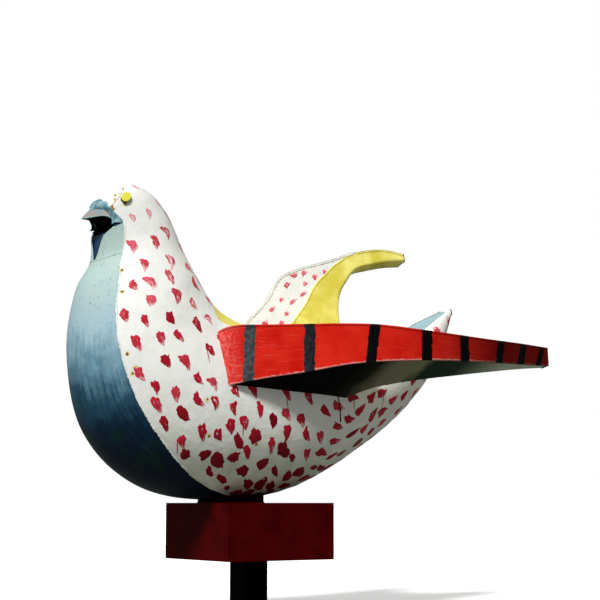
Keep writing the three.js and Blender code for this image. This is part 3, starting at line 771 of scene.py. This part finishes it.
def build_body():
    for side, sign in SIDES:
        body_panel("flank_" + side, 0, FOREHEAD, *on_side(sign, flank_low, flank_high), 215, 60,
                   white_enamel)
        body_panel("cheek_" + side, THROAT, MOUTH, *on_side(sign, notch_seam, breast_seam),
                   24, 20, blue_enamel)
    body_panel("breast_plate", BREAST_START, THROAT, lambda u: -breast_seam(u), breast_seam,
               90, 60, blue_enamel)
    body_panel("saddle_plate", SADDLE_START, SADDLE_END, *over_back(back_seam), 90, 40,
               yellow_enamel)
    body_panel("tail_plate", 0, SADDLE_START, *over_back(lapped_seam), 40, 40, tail_enamel,
               SKIN + 2 * SEAT)
    body_panel("forehead_plate", FOREHEAD, LAST, *over_back(breast_seam), 30, 50, white_enamel)


# Beak, as in the frame: the points of the crease and of the lip run from the middle to the mouth
# corner on one side
BEAK_CREASE = [(-335, 0, 508), (-326, 13, 509), (-317, 27, 505), (-312, 34, 495), (-308, 45, 481)]
BEAK_LIP = [(-351, 0, 490), (-333, 16, 493.5), (-321, 29, 494.5), (-312, 40, 488), (-313, 42, 479)]
BROW_BULGE = 2
BEAK_CREST = 0.14
HEAD_MIDDLE = -262.0, 0, 700.0


def build_beak():
    crease, lip = (Curve([(x, y, z + BODY_BASE) for x, y, z in line])
                   for line in (BEAK_CREASE, BEAK_LIP))

    def rear(t):
        sign = np.where(t < 0, -1, 1)
        far = np.abs(t)
        over = span(math.pi, breast_seam(LAST), far / BEAK_CREST)
        front = surface(LAST, sign * over) + np.array([-4 * SEAT, 0, 0])
        u = span(LAST, MOUTH, np.clip((far - BEAK_CREST) / (1 - BEAK_CREST), 0, 1))
        v = breast_seam(u) - 2.5 * SEAT / girth(u, breast_seam(u))
        return np.where((far < BEAK_CREST)[..., None], front, surface(u, sign * v))

    def below(s, f):
        t = 1 - 2 * s
        mirror = np.stack([np.ones_like(t), np.sign(t), np.ones_like(t)], axis=-1)
        fold = crease(np.abs(t)) * mirror
        edge = lip(np.abs(t)) * mirror
        bulge = BROW_BULGE * np.sin(2 * math.pi * f) * (1 - np.abs(t))
        brow = blend(rear(t), fold, 2 * f) + bulge[..., None] * np.array([-1, 0, 1])
        return np.where((f > 0.5)[..., None], blend(fold, edge, 2 * f - 1), brow)

    def above(s, f):
        step = 0.01
        across = below(np.minimum(s + step, 1), f) - below(np.maximum(s - step, 0), f)
        down = below(s, np.minimum(f + step, 1)) - below(s, np.maximum(f - step, 0))
        return below(s, f) - unit(np.cross(across, down)) * BEAK_SHEET

    def marks(s, f):
        return {"down": f, "up": np.abs(1 - 2 * s)}

    plate("beak_sheet", 72, 16, above, below, beak_enamel, "upper_beak", None, marks, 0.3)
    points = rear(np.linspace(-1, 1, 161))
    bead("beak_weld", points, unit(points - HEAD_MIDDLE), 3.6, 0.9, beak_enamel, None, sink=2.5,
         ripple=0.04)
    for side, sign in SIDES:
        skin_bead("mouth_hem_" + side, MOUTH - 0.02, sign * np.linspace(0.74, 1.02, 40), 5, 1.2,
                  navy_enamel, lift=-1.0, blue=None, sink=2.5)


# The eyes' rounded outer edge, as a share of their radius, and where their yellow end starts
EYE_ROUND = 0.14
EYE_END = 0.8


def build_eyes():
    """Short oval stubs of bar with a rounded outer edge, yellow on the end and dark round it."""
    u, v = EYE_PLACE
    for side, sign in SIDES:
        place, _, _, normal = surface_frame(u, sign * v)
        bm = bmesh.new()
        made = bmesh.ops.create_circle(bm, cap_ends=True, segments=48, radius=1)
        bmesh.ops.translate(bm, verts=made["verts"], vec=(0, 0, -1))
        raised = bmesh.ops.extrude_face_region(bm, geom=bm.faces[:])["geom"]
        top = [part for part in raised if isinstance(part, bmesh.types.BMVert)]
        bmesh.ops.translate(bm, verts=top, vec=(0, 0, 2))
        end = next(face for face in bm.faces if min(vert.co.z for vert in face.verts) > 0)
        bmesh.ops.bevel(bm, geom=end.edges[:], offset=EYE_ROUND, segments=4, profile=0.5,
                        affect="EDGES", material=-1)
        for face in bm.faces:
            face.material_index = 0 if face.calc_center_median().z > EYE_END else 1
        bmesh.ops.recalc_face_normals(bm, faces=bm.faces)
        bmesh.ops.scale(bm, verts=bm.verts, vec=[radius * MM for radius in EYE_RADII])
        tilt = Matrix.Rotation(-sign * EYE_TILT, 3, "Z")
        turn = Vector((0, 0, 1)).rotation_difference(Vector(normal)).to_matrix() @ tilt
        bmesh.ops.rotate(bm, verts=bm.verts, matrix=turn)
        bmesh.ops.translate(bm, verts=bm.verts, vec=Vector(place) * MM)
        finish_piece(bm, "eye_stub_" + side, [eye_yellow, eye_side], ["eye_" + side])


# Wings, as in the frame. Each row gives the top's outer edge and the trailing edge in the wing's
# own plane, as distance to the rear and distance out from the hinge, the depth of the wing at
# both edges, how far the foot of the rim is tucked in under its top, and the share of the width
# that the white top skin takes up before the yellow band starts.
LEFT_WING = dict(
    side="left", sign=-1, hinge=(100, 224), raised=25.2, pitch=5.4, above=0.5, skin_rows=8,
    rows=[
        ((-142, 10), (112, -30), 98, 80, 45, 0.72),
        ((-137, 44), (120, -10), 97, 78, 45, 0.71),
        ((-120, 62), (127, 8), 96, 76, 44, 0.7),
        ((-70, 88), (146, 32), 87, 68, 40, 0.68),
        ((0, 120), (172, 52), 78, 58, 36, 0.66),
        ((60, 149), (205, 70), 68, 50, 31, 0.63),
        ((117, 169), (250, 93), 61, 44, 28, 0.58),
        ((230, 190), (310, 120), 48, 38, 22, 0.45),
        ((330, 203), (370, 148), 40, 34, 18, 0.2),
        ((420, 213), (430, 176), 37, 32, 14, 0.2),
        ((478, 218), (474, 194), 34, 32, 10, 0.3),
    ])
RIGHT_WING = dict(
    side="right", sign=1, hinge=(95, 283), raised=70, pitch=0, above=0, skin_rows=7,
    rows=[
        ((-40, -30), (292, -30), 80, 46, 26, 0.5),
        ((-8, 4), (296, 4), 78, 45, 26, 0.48),
        ((69, 75), (301, 80), 72, 44, 24, 0.48),
        ((126, 128), (308, 125), 66, 42, 22, 0.54),
        ((168, 181), (322, 160), 60, 40, 20, 0.57),
        ((225, 209), (345, 190), 54, 38, 16, 0.54),
        ((300, 234), (378, 222), 50, 36, 10, 0.36),
        ((375, 262), (425, 237), 46, 34, 8, 0.12),
        ((463, 279), (472, 248), 40, 32, 6, 0.15),
        ((520, 273), (518, 255), 36, 32, 4, 0.3),
    ])

# Where the yellow band folds down into the wall under the trailing edge
FOLD_RADIUS = 9


class Wing:
    """The hollow wing's surfaces: rows run out from the body, f runs from the lead rearwards."""

    def __init__(self, side, sign, hinge, raised, pitch, above, skin_rows, rows):
        self.side, self.sign, self.above, self.skin_rows = side, sign, above, skin_rows
        self.last = len(rows) - 1
        self.lead = Curve([(*lead, deep) for lead, _, deep, _, _, _ in rows])
        self.foot = Curve([(lead[0], lead[1] - tuck, deep) for lead, _, deep, _, tuck, _ in rows])
        self.trail = Curve([(*trail, thin) for _, trail, _, thin, _, _ in rows])
        self.share = Curve([(share, 0, 0) for *_, share in rows])
        turn = (Matrix.Translation((0, sign * hinge[0], hinge[1] + BODY_BASE))
                @ Matrix.Rotation(math.radians(pitch), 4, "Y")
                @ Matrix.Rotation(math.radians(sign * raised), 4, "X"))
        self.turn = np.array(turn)
        self.last_row = min(size_of(edge(1.0) - edge(1 - 1 / self.last))
                            for edge in (self.lead, self.trail))
        self.tip_row = self.last - (RIM_SHEET + SEAT) / self.last_row

    def fraction(self, row, distance, edge, on_top):
        """Fraction of the width at a row that a distance in from an edge takes."""
        t = row / self.last
        across = self.trail(t) - (self.lead if on_top else self.foot)(t)
        way = edge.way(t)
        width = (np.abs(way[..., 0] * across[..., 1] - way[..., 1] * across[..., 0])
                 / np.hypot(way[..., 0], way[..., 1]))
        return distance / np.maximum(width, 3 * distance + 1e-9)

    def at(self, row, f, on_top, sink):
        t = np.asarray(row, float) / self.last
        p = blend((self.lead if on_top else self.foot)(t), self.trail(t), f)
        height = self.above * p[..., 2] - sink if on_top else (self.above - 1) * p[..., 2] + sink
        local = np.stack([p[..., 0], self.sign * p[..., 1], height, np.ones_like(height)], axis=-1)
        return (local @ self.turn.T)[..., :3]

    def behind_rim(self, row, on_top):
        t = row / self.last
        lean = (self.lead(t)[..., 1] - self.foot(t)[..., 1]) / self.lead(t)[..., 2]
        more = lean * (RIM_LIP + SKIN) if on_top else -lean * RIM_LIP
        return self.fraction(row, RIM_SHEET + SEAT + more, self.lead, on_top)

    def band_start(self, row):
        start = np.where(row < self.skin_rows, self.share(row / self.last)[..., 0], 0)
        return np.maximum(start, self.behind_rim(row, True) + 0.04)

    def top(self, depth, s, f):
        row = s * self.skin_rows
        end = self.band_start(row) - self.fraction(row, SEAT / 2, self.lead, True)
        return self.at(row, span(self.behind_rim(row, True), end, f), True, RIM_LIP + depth)

    def bottom(self, depth, s, f):
        row = np.minimum(s * self.last, self.tip_row)
        return self.at(row, span(self.behind_rim(row, False), 1, f), False, RIM_LIP + depth)

    def rim(self, depth, s, f):
        """The rim from the root to the tip and on round the tip."""
        path = s * (self.last + 1)
        row = np.minimum(path, self.last - depth / self.last_row)
        beyond = np.maximum(path - self.last, 0)
        high, low = (self.at(row, span(self.fraction(row, depth, self.lead, on_top), 1, beyond),
                             on_top, 0) for on_top in (True, False))
        return blend(high, low, f)

    def band(self, depth, s, f):
        """The band and the wall under the trailing edge, with a rounded fold between them."""
        row = np.minimum(s * self.last, self.tip_row)
        edge = self.at(row, 1 - self.fraction(row, depth, self.trail, True), True,
                       RIM_LIP + depth)
        low = self.at(row, 1 - self.fraction(row, depth, self.trail, False), False,
                      RIM_LIP + SKIN + SEAT)
        start = self.at(row, self.band_start(row), True, RIM_LIP + depth)
        before, after = (blend(edge, end, np.minimum(FOLD_RADIUS / length, 0.4))
                         for end in (start, low) for length in [size_of(end - edge) + 1e-6])
        w = np.clip((f - 0.4) / 0.2, 0, 1)
        fold = blend(blend(before, edge, w), blend(edge, after, w), w)
        flat = np.where((f < 0.5)[..., None], blend(start, before, np.minimum(f / 0.4, 1)),
                        blend(after, low, np.maximum((f - 0.6) / 0.4, 0)))
        return np.where((np.abs(f - 0.5) < 0.1)[..., None], fold, flat)


def white_marks(s, f):
    """No blue or yellow anywhere near."""
    return {"edge": np.full_like(s, -FAR), "down": np.full_like(s, -FAR)}


# Middles of the rim's stripes, as a distance to the rear in mm, their width and their slant
STRIPES = [(-94, 18, -6), (5, 18, -3), (112, 20, -10), (217, 22, -2), (297, 19, 0), (375, 16, -7),
           (424, 14, -10), (466, 12, -15)]


def build_wing(shape, rim_enamel):
    wing = Wing(**shape)
    side = wing.side

    def rim_marks(s, f):
        here = wing.rim(0, s, f)
        gaps = [width / 2 - np.abs(here[..., 0] - middle - slant * (f - 0.5))
                for middle, width, slant in STRIPES]
        high, low = (wing.rim(0, s, np.full_like(f, edge)) for edge in (0, 1))
        return {"edge": np.max(gaps, axis=0), "down": size_of(here - high),
                "up": size_of(here - low)}

    for name, node, face, thick, rows, columns, material in (
            ("top_skin", "top", wing.top, SKIN, 100, 30, white_enamel),
            ("underside", "bottom", wing.bottom, SKIN, 120, 24, underside_enamel),
            ("band_sheet", "band", wing.band, SKIN, 120, 24, yellow_enamel),
            ("rim_sheet", "rim", wing.rim, RIM_SHEET, 22 * (wing.last + 1), 16, rim_enamel)):
        outer, inner = partial(face, 0), partial(face, thick)

        def strokes(s, f):
            here = outer(s, f)
            across = size_of(here - outer(s, np.zeros_like(f)))
            return np.stack([here[..., 0], across], axis=-1) * MM

        marks = rim_marks if material is striped_rim else white_marks
        plate(f"wing_{name}_{side}", rows, columns, outer, inner, material,
              f"wing_{node}_{side}", strokes, marks)
    return wing


# Dabs of paint. A kind's shape is how ragged its head and tail are, its taper and its bend. Its
# reaches are those of its length, width, tone and dryness.
DAB_SIDES = 26
DAB_PROUD, DAB_THICK, DAB_DOME = 0.15, 0.5, 0.5
DAB_SHAPES = {"comma": (0.24, 0.2, 0.6, 0.5), "kite": (0.22, 0.1, 0.4, 0.2),
              "blob": (0.18, 0.16, 0.85, 0.3), "drip": (0.0, 0.0, 0.45, 0.1)}
DAB_REACHES = {"comma": ((24, 33), (18, 25), (0.15, 0.5), (-0.1, 1.0)),
               "kite": ((25, 34), (21, 29), (0.4, 0.75), (-0.1, 0.5)),
               "blob": ((16, 42), (13, 30), (0.75, 1.0), (-0.2, 0.12)),
               "small comma": ((16, 29), (9, 15), (-0.1, 0.25), (0.0, 0.7))}


class Dabs:
    """The dabs on one canvas, which gives a point for a place (u, v) and a distance above it."""

    def __init__(self, name, canvas, outward, seed):
        self.name, self.canvas, self.outward = name, canvas, outward
        self.chance = random.Random(seed)
        self.bm = new_bmesh("tone", "dry", "chance")

    def places(self, tries, reach_u, low, high, spacing, fits):
        """Places spread evenly over the canvas: darts that land too close are dropped."""
        u = np.array([self.chance.uniform(*reach_u) for _ in range(tries)])
        v = span(low(u), high(u), np.array([self.chance.random() for _ in range(tries)]))
        clear = fits(u, v)
        u, v = u[clear], v[clear]
        points = self.canvas(u, v, 0.0)
        gaps = spacing(points)
        kept = []
        for i, point in enumerate(points):
            if not kept or np.min(size_of(points[kept] - point)) > gaps[i]:
                kept.append(i)
        return [(u[i], v[i]) for i in kept]

    def draw(self, kind):
        """A length, width, tone and dryness for one dab."""
        return [self.chance.uniform(*reach) for reach in DAB_REACHES[kind]]

    def add(self, u, v, towards, kind, length, width, tone, dry):
        """One touch of the brush: towards is the way the brush was dragged."""
        bm, chance, step = self.bm, self.chance, 0.01

        def near(more_u, more_v):
            return self.canvas(np.array(u + more_u), np.array(v + more_v), 0.0)

        du, dv = (near(step, 0) - near(0, 0)) / step, (near(0, step) - near(0, 0)) / step
        normal = unit(np.cross(du, dv))
        drag = unit(towards - normal * np.dot(towards, normal))
        side = np.cross(normal, drag)
        ragged_head, ragged_tail, taper, bend = DAB_SHAPES[kind]
        bend *= chance.uniform(-1, 1)
        rim = bmesh.ops.create_circle(bm, cap_ends=True, segments=DAB_SIDES, radius=1)["verts"]
        centre = bmesh.ops.poke(bm, faces=rim[0].link_faces[:])["verts"][0]
        verts = [rim[-1], rim[0], centre, *rim[1:-1]]
        x, y = (np.array([vert.co[i] for vert in verts]) for i in (0, 1))
        out, turn = np.hypot(x, y), np.arctan2(y, x)
        head = 0.5 - 0.5 * np.cos(turn)
        noise = np.array([chance.uniform(-1, 1) for _ in verts])
        waves = sum(chance.uniform(0.3, 1) * np.sin(count * turn + chance.uniform(0, 2 * math.pi))
                    for count in (2, 3, 5))
        reach = 0.88 + (0.7 * noise + 0.4 * waves) * span(ragged_tail, ragged_head, head)
        if kind == "kite":
            reach += 0.12 * np.cos(2 * turn) * (1 - head)
        a = out * reach * np.cos(turn)
        b = out * reach * np.sin(turn) * span(1.0, taper, (a + 1) / 2)
        offset = ((a * length / 2)[:, None] * drag
                  + (b * width / 2 + bend * a * a * width)[:, None] * side)
        steps = np.linalg.lstsq(np.stack([du, dv], axis=-1), offset.T, rcond=None)[0]
        places = self.canvas(u + steps[0], v + steps[1], DAB_PROUD + DAB_DOME * (1 - out)) * MM
        uv = bm.loops.layers.uv["paint"]
        marks = [(bm.verts.layers.float[name], value) for name, value in
                 (("tone", tone), ("dry", dry), ("chance", chance.uniform(0, 60)))]
        for i, vert in enumerate(verts):
            vert.co = places[i]
            for layer, value in marks:
                vert[layer] = value
            for loop in vert.link_loops:
                loop[uv].uv = x[i], y[i]
        faces = centre.link_faces[:]
        faces[0].normal_update()
        if faces[0].normal.dot(Vector(normal * self.outward)) < 0:
            bmesh.ops.reverse_faces(bm, faces=faces)

    def finish(self):
        piece = finish_piece(self.bm, self.name, [crimson_dab])
        coat = piece.modifiers.new("paint body", "SOLIDIFY")
        coat.thickness = DAB_THICK * MM
        coat.offset = -1
        light = piece.modifiers.new("level shading", "WEIGHTED_NORMAL")
        light.weight = 100


# How far a dab's middle keeps from the blue, the yellow, the seams and the eye, then how far
# apart the dabs are high up and low down on the flanks and on the wings, in mm
BLUE_MARGIN, YELLOW_MARGIN, SEAM_MARGIN, EYE_MARGIN = 15, 12, 14, 34
HIGH_SPACING, LOW_SPACING, WING_SPACING = 33, 25.5, 24.5
FLANK_TRIES, WING_TRIES = 9000, 2500


def build_flank_dabs(side, sign):
    """Large dabs on a flank: blobs low down, kites above them and paler commas on the neck. They
    are dragged down in front and up towards the tail, and some kites drip."""
    dabs = Dabs("crimson_dabs_" + side, shell, 1, 7 if sign < 0 else 11)
    chance = dabs.chance

    def fits(u, v):
        low, high = flank_low(u), flank_high(u)
        seams = np.minimum((v - low) * girth(u, low), (high - v) * girth(u, high))
        eye = size_of(surface(u, v) - surface(*EYE_PLACE))
        return ((blue_reach(u, v) < -BLUE_MARGIN) & (yellow_reach(u, v) < -YELLOW_MARGIN)
                & (seams > SEAM_MARGIN) & (eye > EYE_MARGIN))

    def spacing(points):
        low_down = np.clip((BODY_BASE + 300 - points[:, 2]) / 220, 0, 1)
        return span(HIGH_SPACING, LOW_SPACING, low_down)

    for u, v in dabs.places(FLANK_TRIES, (0.15, 14.3), flank_low, flank_high, spacing, fits):
        point = surface(u, v)
        level = (point[2] - BODY_BASE) / 330
        rear = np.clip((point[0] - 40) / 160, 0, 1)
        towards = blend(np.array([0.45, 0, -1.0]), np.array([1.0, 0, 0.8]), rear)
        towards = towards + np.array([chance.uniform(-0.3, 0.3) for _ in range(3)])
        low_down = chance.random() < span(1.4, -0.2, np.clip(level / 0.6, 0, 1))
        kind = "comma" if level > 0.95 else "blob" if low_down else "kite"
        length, width, tone, dry = dabs.draw(kind)
        if u < SADDLE_START:
            kind, length, width, tone, dry = "blob", 27, 22, 0.35, 0.0
        if u > station("jaw"):
            length, width, tone, dry = length * 0.7, width * 0.5, tone * 0.3, 1.0
        dabs.add(u, sign * v, towards, kind, length, width, tone, dry)
        if kind == "kite" and chance.random() < 0.1:
            fall = 0.5 * length / girth(u, sign * v)
            dabs.add(u, sign * (v - fall), np.array([0.1, 0, -1.0]), "drip",
                     chance.uniform(18, 34), 3, tone, 0)
    dabs.finish()


def build_wing_dabs(wing):
    """Small dry dabs on a white top, dragged to the rear and out towards the tip."""
    def canvas(row, f, proud):
        return wing.at(row, f, True, RIM_LIP - proud)

    def low(row):
        return wing.behind_rim(row, True) + wing.fraction(row, 9, wing.lead, True)

    def high(row):
        return wing.band_start(row) - wing.fraction(row, 8, wing.trail, True)

    def fits(row, f):
        points = canvas(row, f, 0.0)
        clear = (np.abs(points[:, 1]) > 140) | (points[:, 2] > BODY_BASE + 300)
        return clear & (high(row) > low(row))

    dabs = Dabs("crimson_dabs_wing_" + wing.side, canvas, -wing.sign, 3)
    towards = wing.turn[:3, :3] @ (1.1, 0.75 * wing.sign, 0)
    for row, f in dabs.places(WING_TRIES, (0.2, wing.skin_rows - 0.8), low, high,
                              lambda points: np.full(len(points), WING_SPACING), fits):
        dabs.add(row, f, towards, "comma", *dabs.draw("small comma"))
    dabs.finish()


# Weld beads


def build_body_beads():
    for side, sign in SIDES:
        for name, u, low, high in (("flank_weld_", 4.57, 1.28, 1.7),
                                   ("tail_hem_", 0.02, 1.2, back_seam(0.0) - 0.05)):
            skin_bead(name + side, u, sign * np.linspace(low, high, 60), 3, 0.7, mill_scale_with_painted_shade)
        for name, start, stop, seam, material, blue in (
                ("breast_weld_", BREAST_START + 0.05, MOUTH, breast_seam, white_enamel, -sign),
                ("saddle_weld_", SADDLE_START, SADDLE_END, back_seam, yellow_enamel, 0)):
            u = np.linspace(start, stop, 240)
            skin_bead(name + side, u, sign * seam(u), *SEAM_BEAD, material, blue=blue)
    for name, start, stop, v in (("keel_weld", 0.1, BREAST_START - 0.1, 0.0),
                                 ("nape_weld", SADDLE_END, FOREHEAD, math.pi)):
        skin_bead(name, np.linspace(start, stop, 240), v, *SEAM_BEAD, white_enamel)
    low = breast_seam(THROAT)
    skin_bead("throat_weld", THROAT, np.linspace(low, -low, 120), 3.5, 0.6, blue_enamel,
              blue=None)
    low = breast_seam(FOREHEAD)
    skin_bead("forehead_weld", FOREHEAD, np.linspace(low, 2 * math.pi - low, 120), 4, 0.8,
              rusty_weld)


def build_wing_beads(wing):
    rows = 160
    up = np.tile(wing.turn[:3, 2], (rows, 1))
    for colour, start, stop, material in (("white", 0.05, wing.skin_rows, white_enamel),
                                          ("yellow", wing.skin_rows, wing.tip_row, yellow_enamel)):
        row = np.linspace(start, stop, rows)
        corner = wing.at(row, wing.fraction(row, RIM_SHEET + 1.4, wing.lead, True), True, RIM_LIP)
        bead(f"rim_weld_{colour}_{wing.side}", corner, up, 5.5, 1.2, material)
    row = np.linspace(0.05, wing.skin_rows - 0.05, rows)
    seam = wing.at(row, wing.band_start(row), True, RIM_LIP)
    bead(f"band_weld_{wing.side}", seam, up, 4.0, 0.9, yellow_enamel)


# Power of the round that is drawn as a square with small corners
SQUARENESS = 60


def build_base_beads():
    """Beads round the squares of the base: fillets on the plinth's faces, which the lift turns up
    or down, and low beads round its edges."""
    turn = np.linspace(0, 2 * math.pi, 721)
    cos, sin = np.cos(turn), np.sin(turn)
    round_off = (np.abs(cos) ** SQUARENESS + np.abs(sin) ** SQUARENESS) ** (1 / SQUARENESS)
    for name, side, x, z, lift, material in (
            ("collar_foot_weld", COLLAR_SIDE, COLLAR_X, PLINTH_TOP, 1, maroon_with_painted_shade),
            ("post_weld", POST_SIDE, 0, PLINTH_LOW, -1, black_enamel),
            ("plinth_weld_top", PLINTH_SIDE - 1, 0, PLINTH_TOP - PLINTH_SHEET, 0, maroon_with_painted_shade),
            ("plinth_weld_low", PLINTH_SIDE - 1, 0, PLINTH_LOW + PLINTH_SHEET, 0, maroon_with_painted_shade)):
        radius = side / 2 / round_off
        points = np.stack([x + radius * cos, radius * sin, np.full_like(turn, z)], axis=-1)
        normals = unit(np.stack([cos, sin, np.full_like(turn, lift)], axis=-1))
        width, height, sink = (7, 2.2, 1.5) if lift else (2.4, 0.9, 1.0)
        bead(name, points, normals, width, height, material, sink=sink)


# Base, chin and armature keep the frame's solids: material, width of the softened edges, nodes
KEPT = [
    (maroon_with_painted_shade, 0.3, ["plinth_top", "plinth_bottom", "plinth_front", "plinth_rear",
                          "plinth_left", "plinth_right"]),
    (collar_maroon_in_painted_shade, 1.0, ["collar"]),
    (black_enamel, 1.2, ["post"]),
    (navy_enamel, 0, ["chin_plate"]),
    (mill_scale_with_painted_shade, 0, ["wing_spar_left", "wing_spar_right", "stem_tube", "spine_bar", "neck_strut",
                     "tail_former", "rear_former", "middle_former", "breast_former"]),
]


def dress_kept_solids():
    for material, width, names in KEPT:
        for name in names:
            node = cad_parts[name]
            node.material_slots[0].material = material
            if width:
                soften(node, width)


# Stage, light and camera

YAW, PITCH = math.radians(34), math.radians(8)
LENS = 87
CAMERA_PLACE = -1.4367, -2.2988, 0.2006


def build_camera():
    data = bpy.data.cameras.new("camera")
    data.lens = LENS
    data.clip_end = 100
    camera = add_object("camera", data)
    camera.location = CAMERA_PLACE
    camera.rotation_euler = math.pi / 2 + PITCH, 0, -YAW
    bpy.context.scene.camera = camera


def build_light():
    """Soft sun from the front left and a sky that is darker below. The camera sees plain white."""
    sun = bpy.data.lights.new("sun", "SUN")
    sun.energy = 4.1
    sun.angle = math.radians(12)
    towards = Vector((-0.55, -0.38, 0.74))
    add_object("sun", sun).rotation_euler = towards.to_track_quat("Z", "Y").to_euler()
    world = bpy.data.worlds.new("studio")
    bpy.context.scene.world = world
    world.use_nodes = True
    tree = world.node_tree
    tree.nodes.clear()
    seen = add_node(tree, "ShaderNodeLightPath").outputs["Is Camera Ray"]
    spot = add_node(tree, "ShaderNodeTexCoord").outputs["Generated"]
    height = add_node(tree, "ShaderNodeSeparateXYZ", {0: spot}).outputs["Z"]
    sky = add_node(tree, "ShaderNodeMapRange", {"Value": height, "From Min": -0.4, "From Max": 0.6,
                                               "To Min": 0.1, "To Max": 0.36})
    strength = add_node(tree, "ShaderNodeMix", {"Factor": seen, "A": sky, "B": 1.0},
                        data_type="FLOAT")
    back = add_node(tree, "ShaderNodeBackground", {"Color": (1, 1, 1, 1), "Strength": strength})
    add_node(tree, "ShaderNodeOutputWorld", {"Surface": back})


def floor_paper():
    """Pale paper that shows white to the camera and throws little light up at the undersides."""
    paint = Paint("pale_floor", None, 0.9)
    seen = paint.add("ShaderNodeLightPath").outputs["Is Camera Ray"]
    glow = paint.times(seen, 0.35)
    paint.tree.links.new(output(glow), paint.shader.inputs["Emission Strength"])
    paint.shader.inputs["Emission Color"].default_value = (1, 1, 1, 1)
    paint.colour = paint.over("#7a7d76", "#f4f4f2", seen)
    return paint.finish()


def build_stage():
    bm = bmesh.new()
    bmesh.ops.create_grid(bm, x_segments=1, y_segments=1, size=40)
    mesh = bpy.data.meshes.new("floor")
    bm.to_mesh(mesh)
    bm.free()
    floor = add_object("floor", mesh)
    floor.location.z = -0.0005
    mesh.materials.append(floor_paper())


build_body()
build_beak()
build_eyes()
wings = [build_wing(LEFT_WING, striped_rim), build_wing(RIGHT_WING, white_enamel)]
for side, sign in SIDES:
    build_flank_dabs(side, sign)
build_body_beads()
for wing in wings:
    build_wing_dabs(wing)
    build_wing_beads(wing)
dress_kept_solids()
build_base_beads()
build_camera()
build_light()
build_stage()
bpy.context.scene.view_settings.view_transform = "Standard"
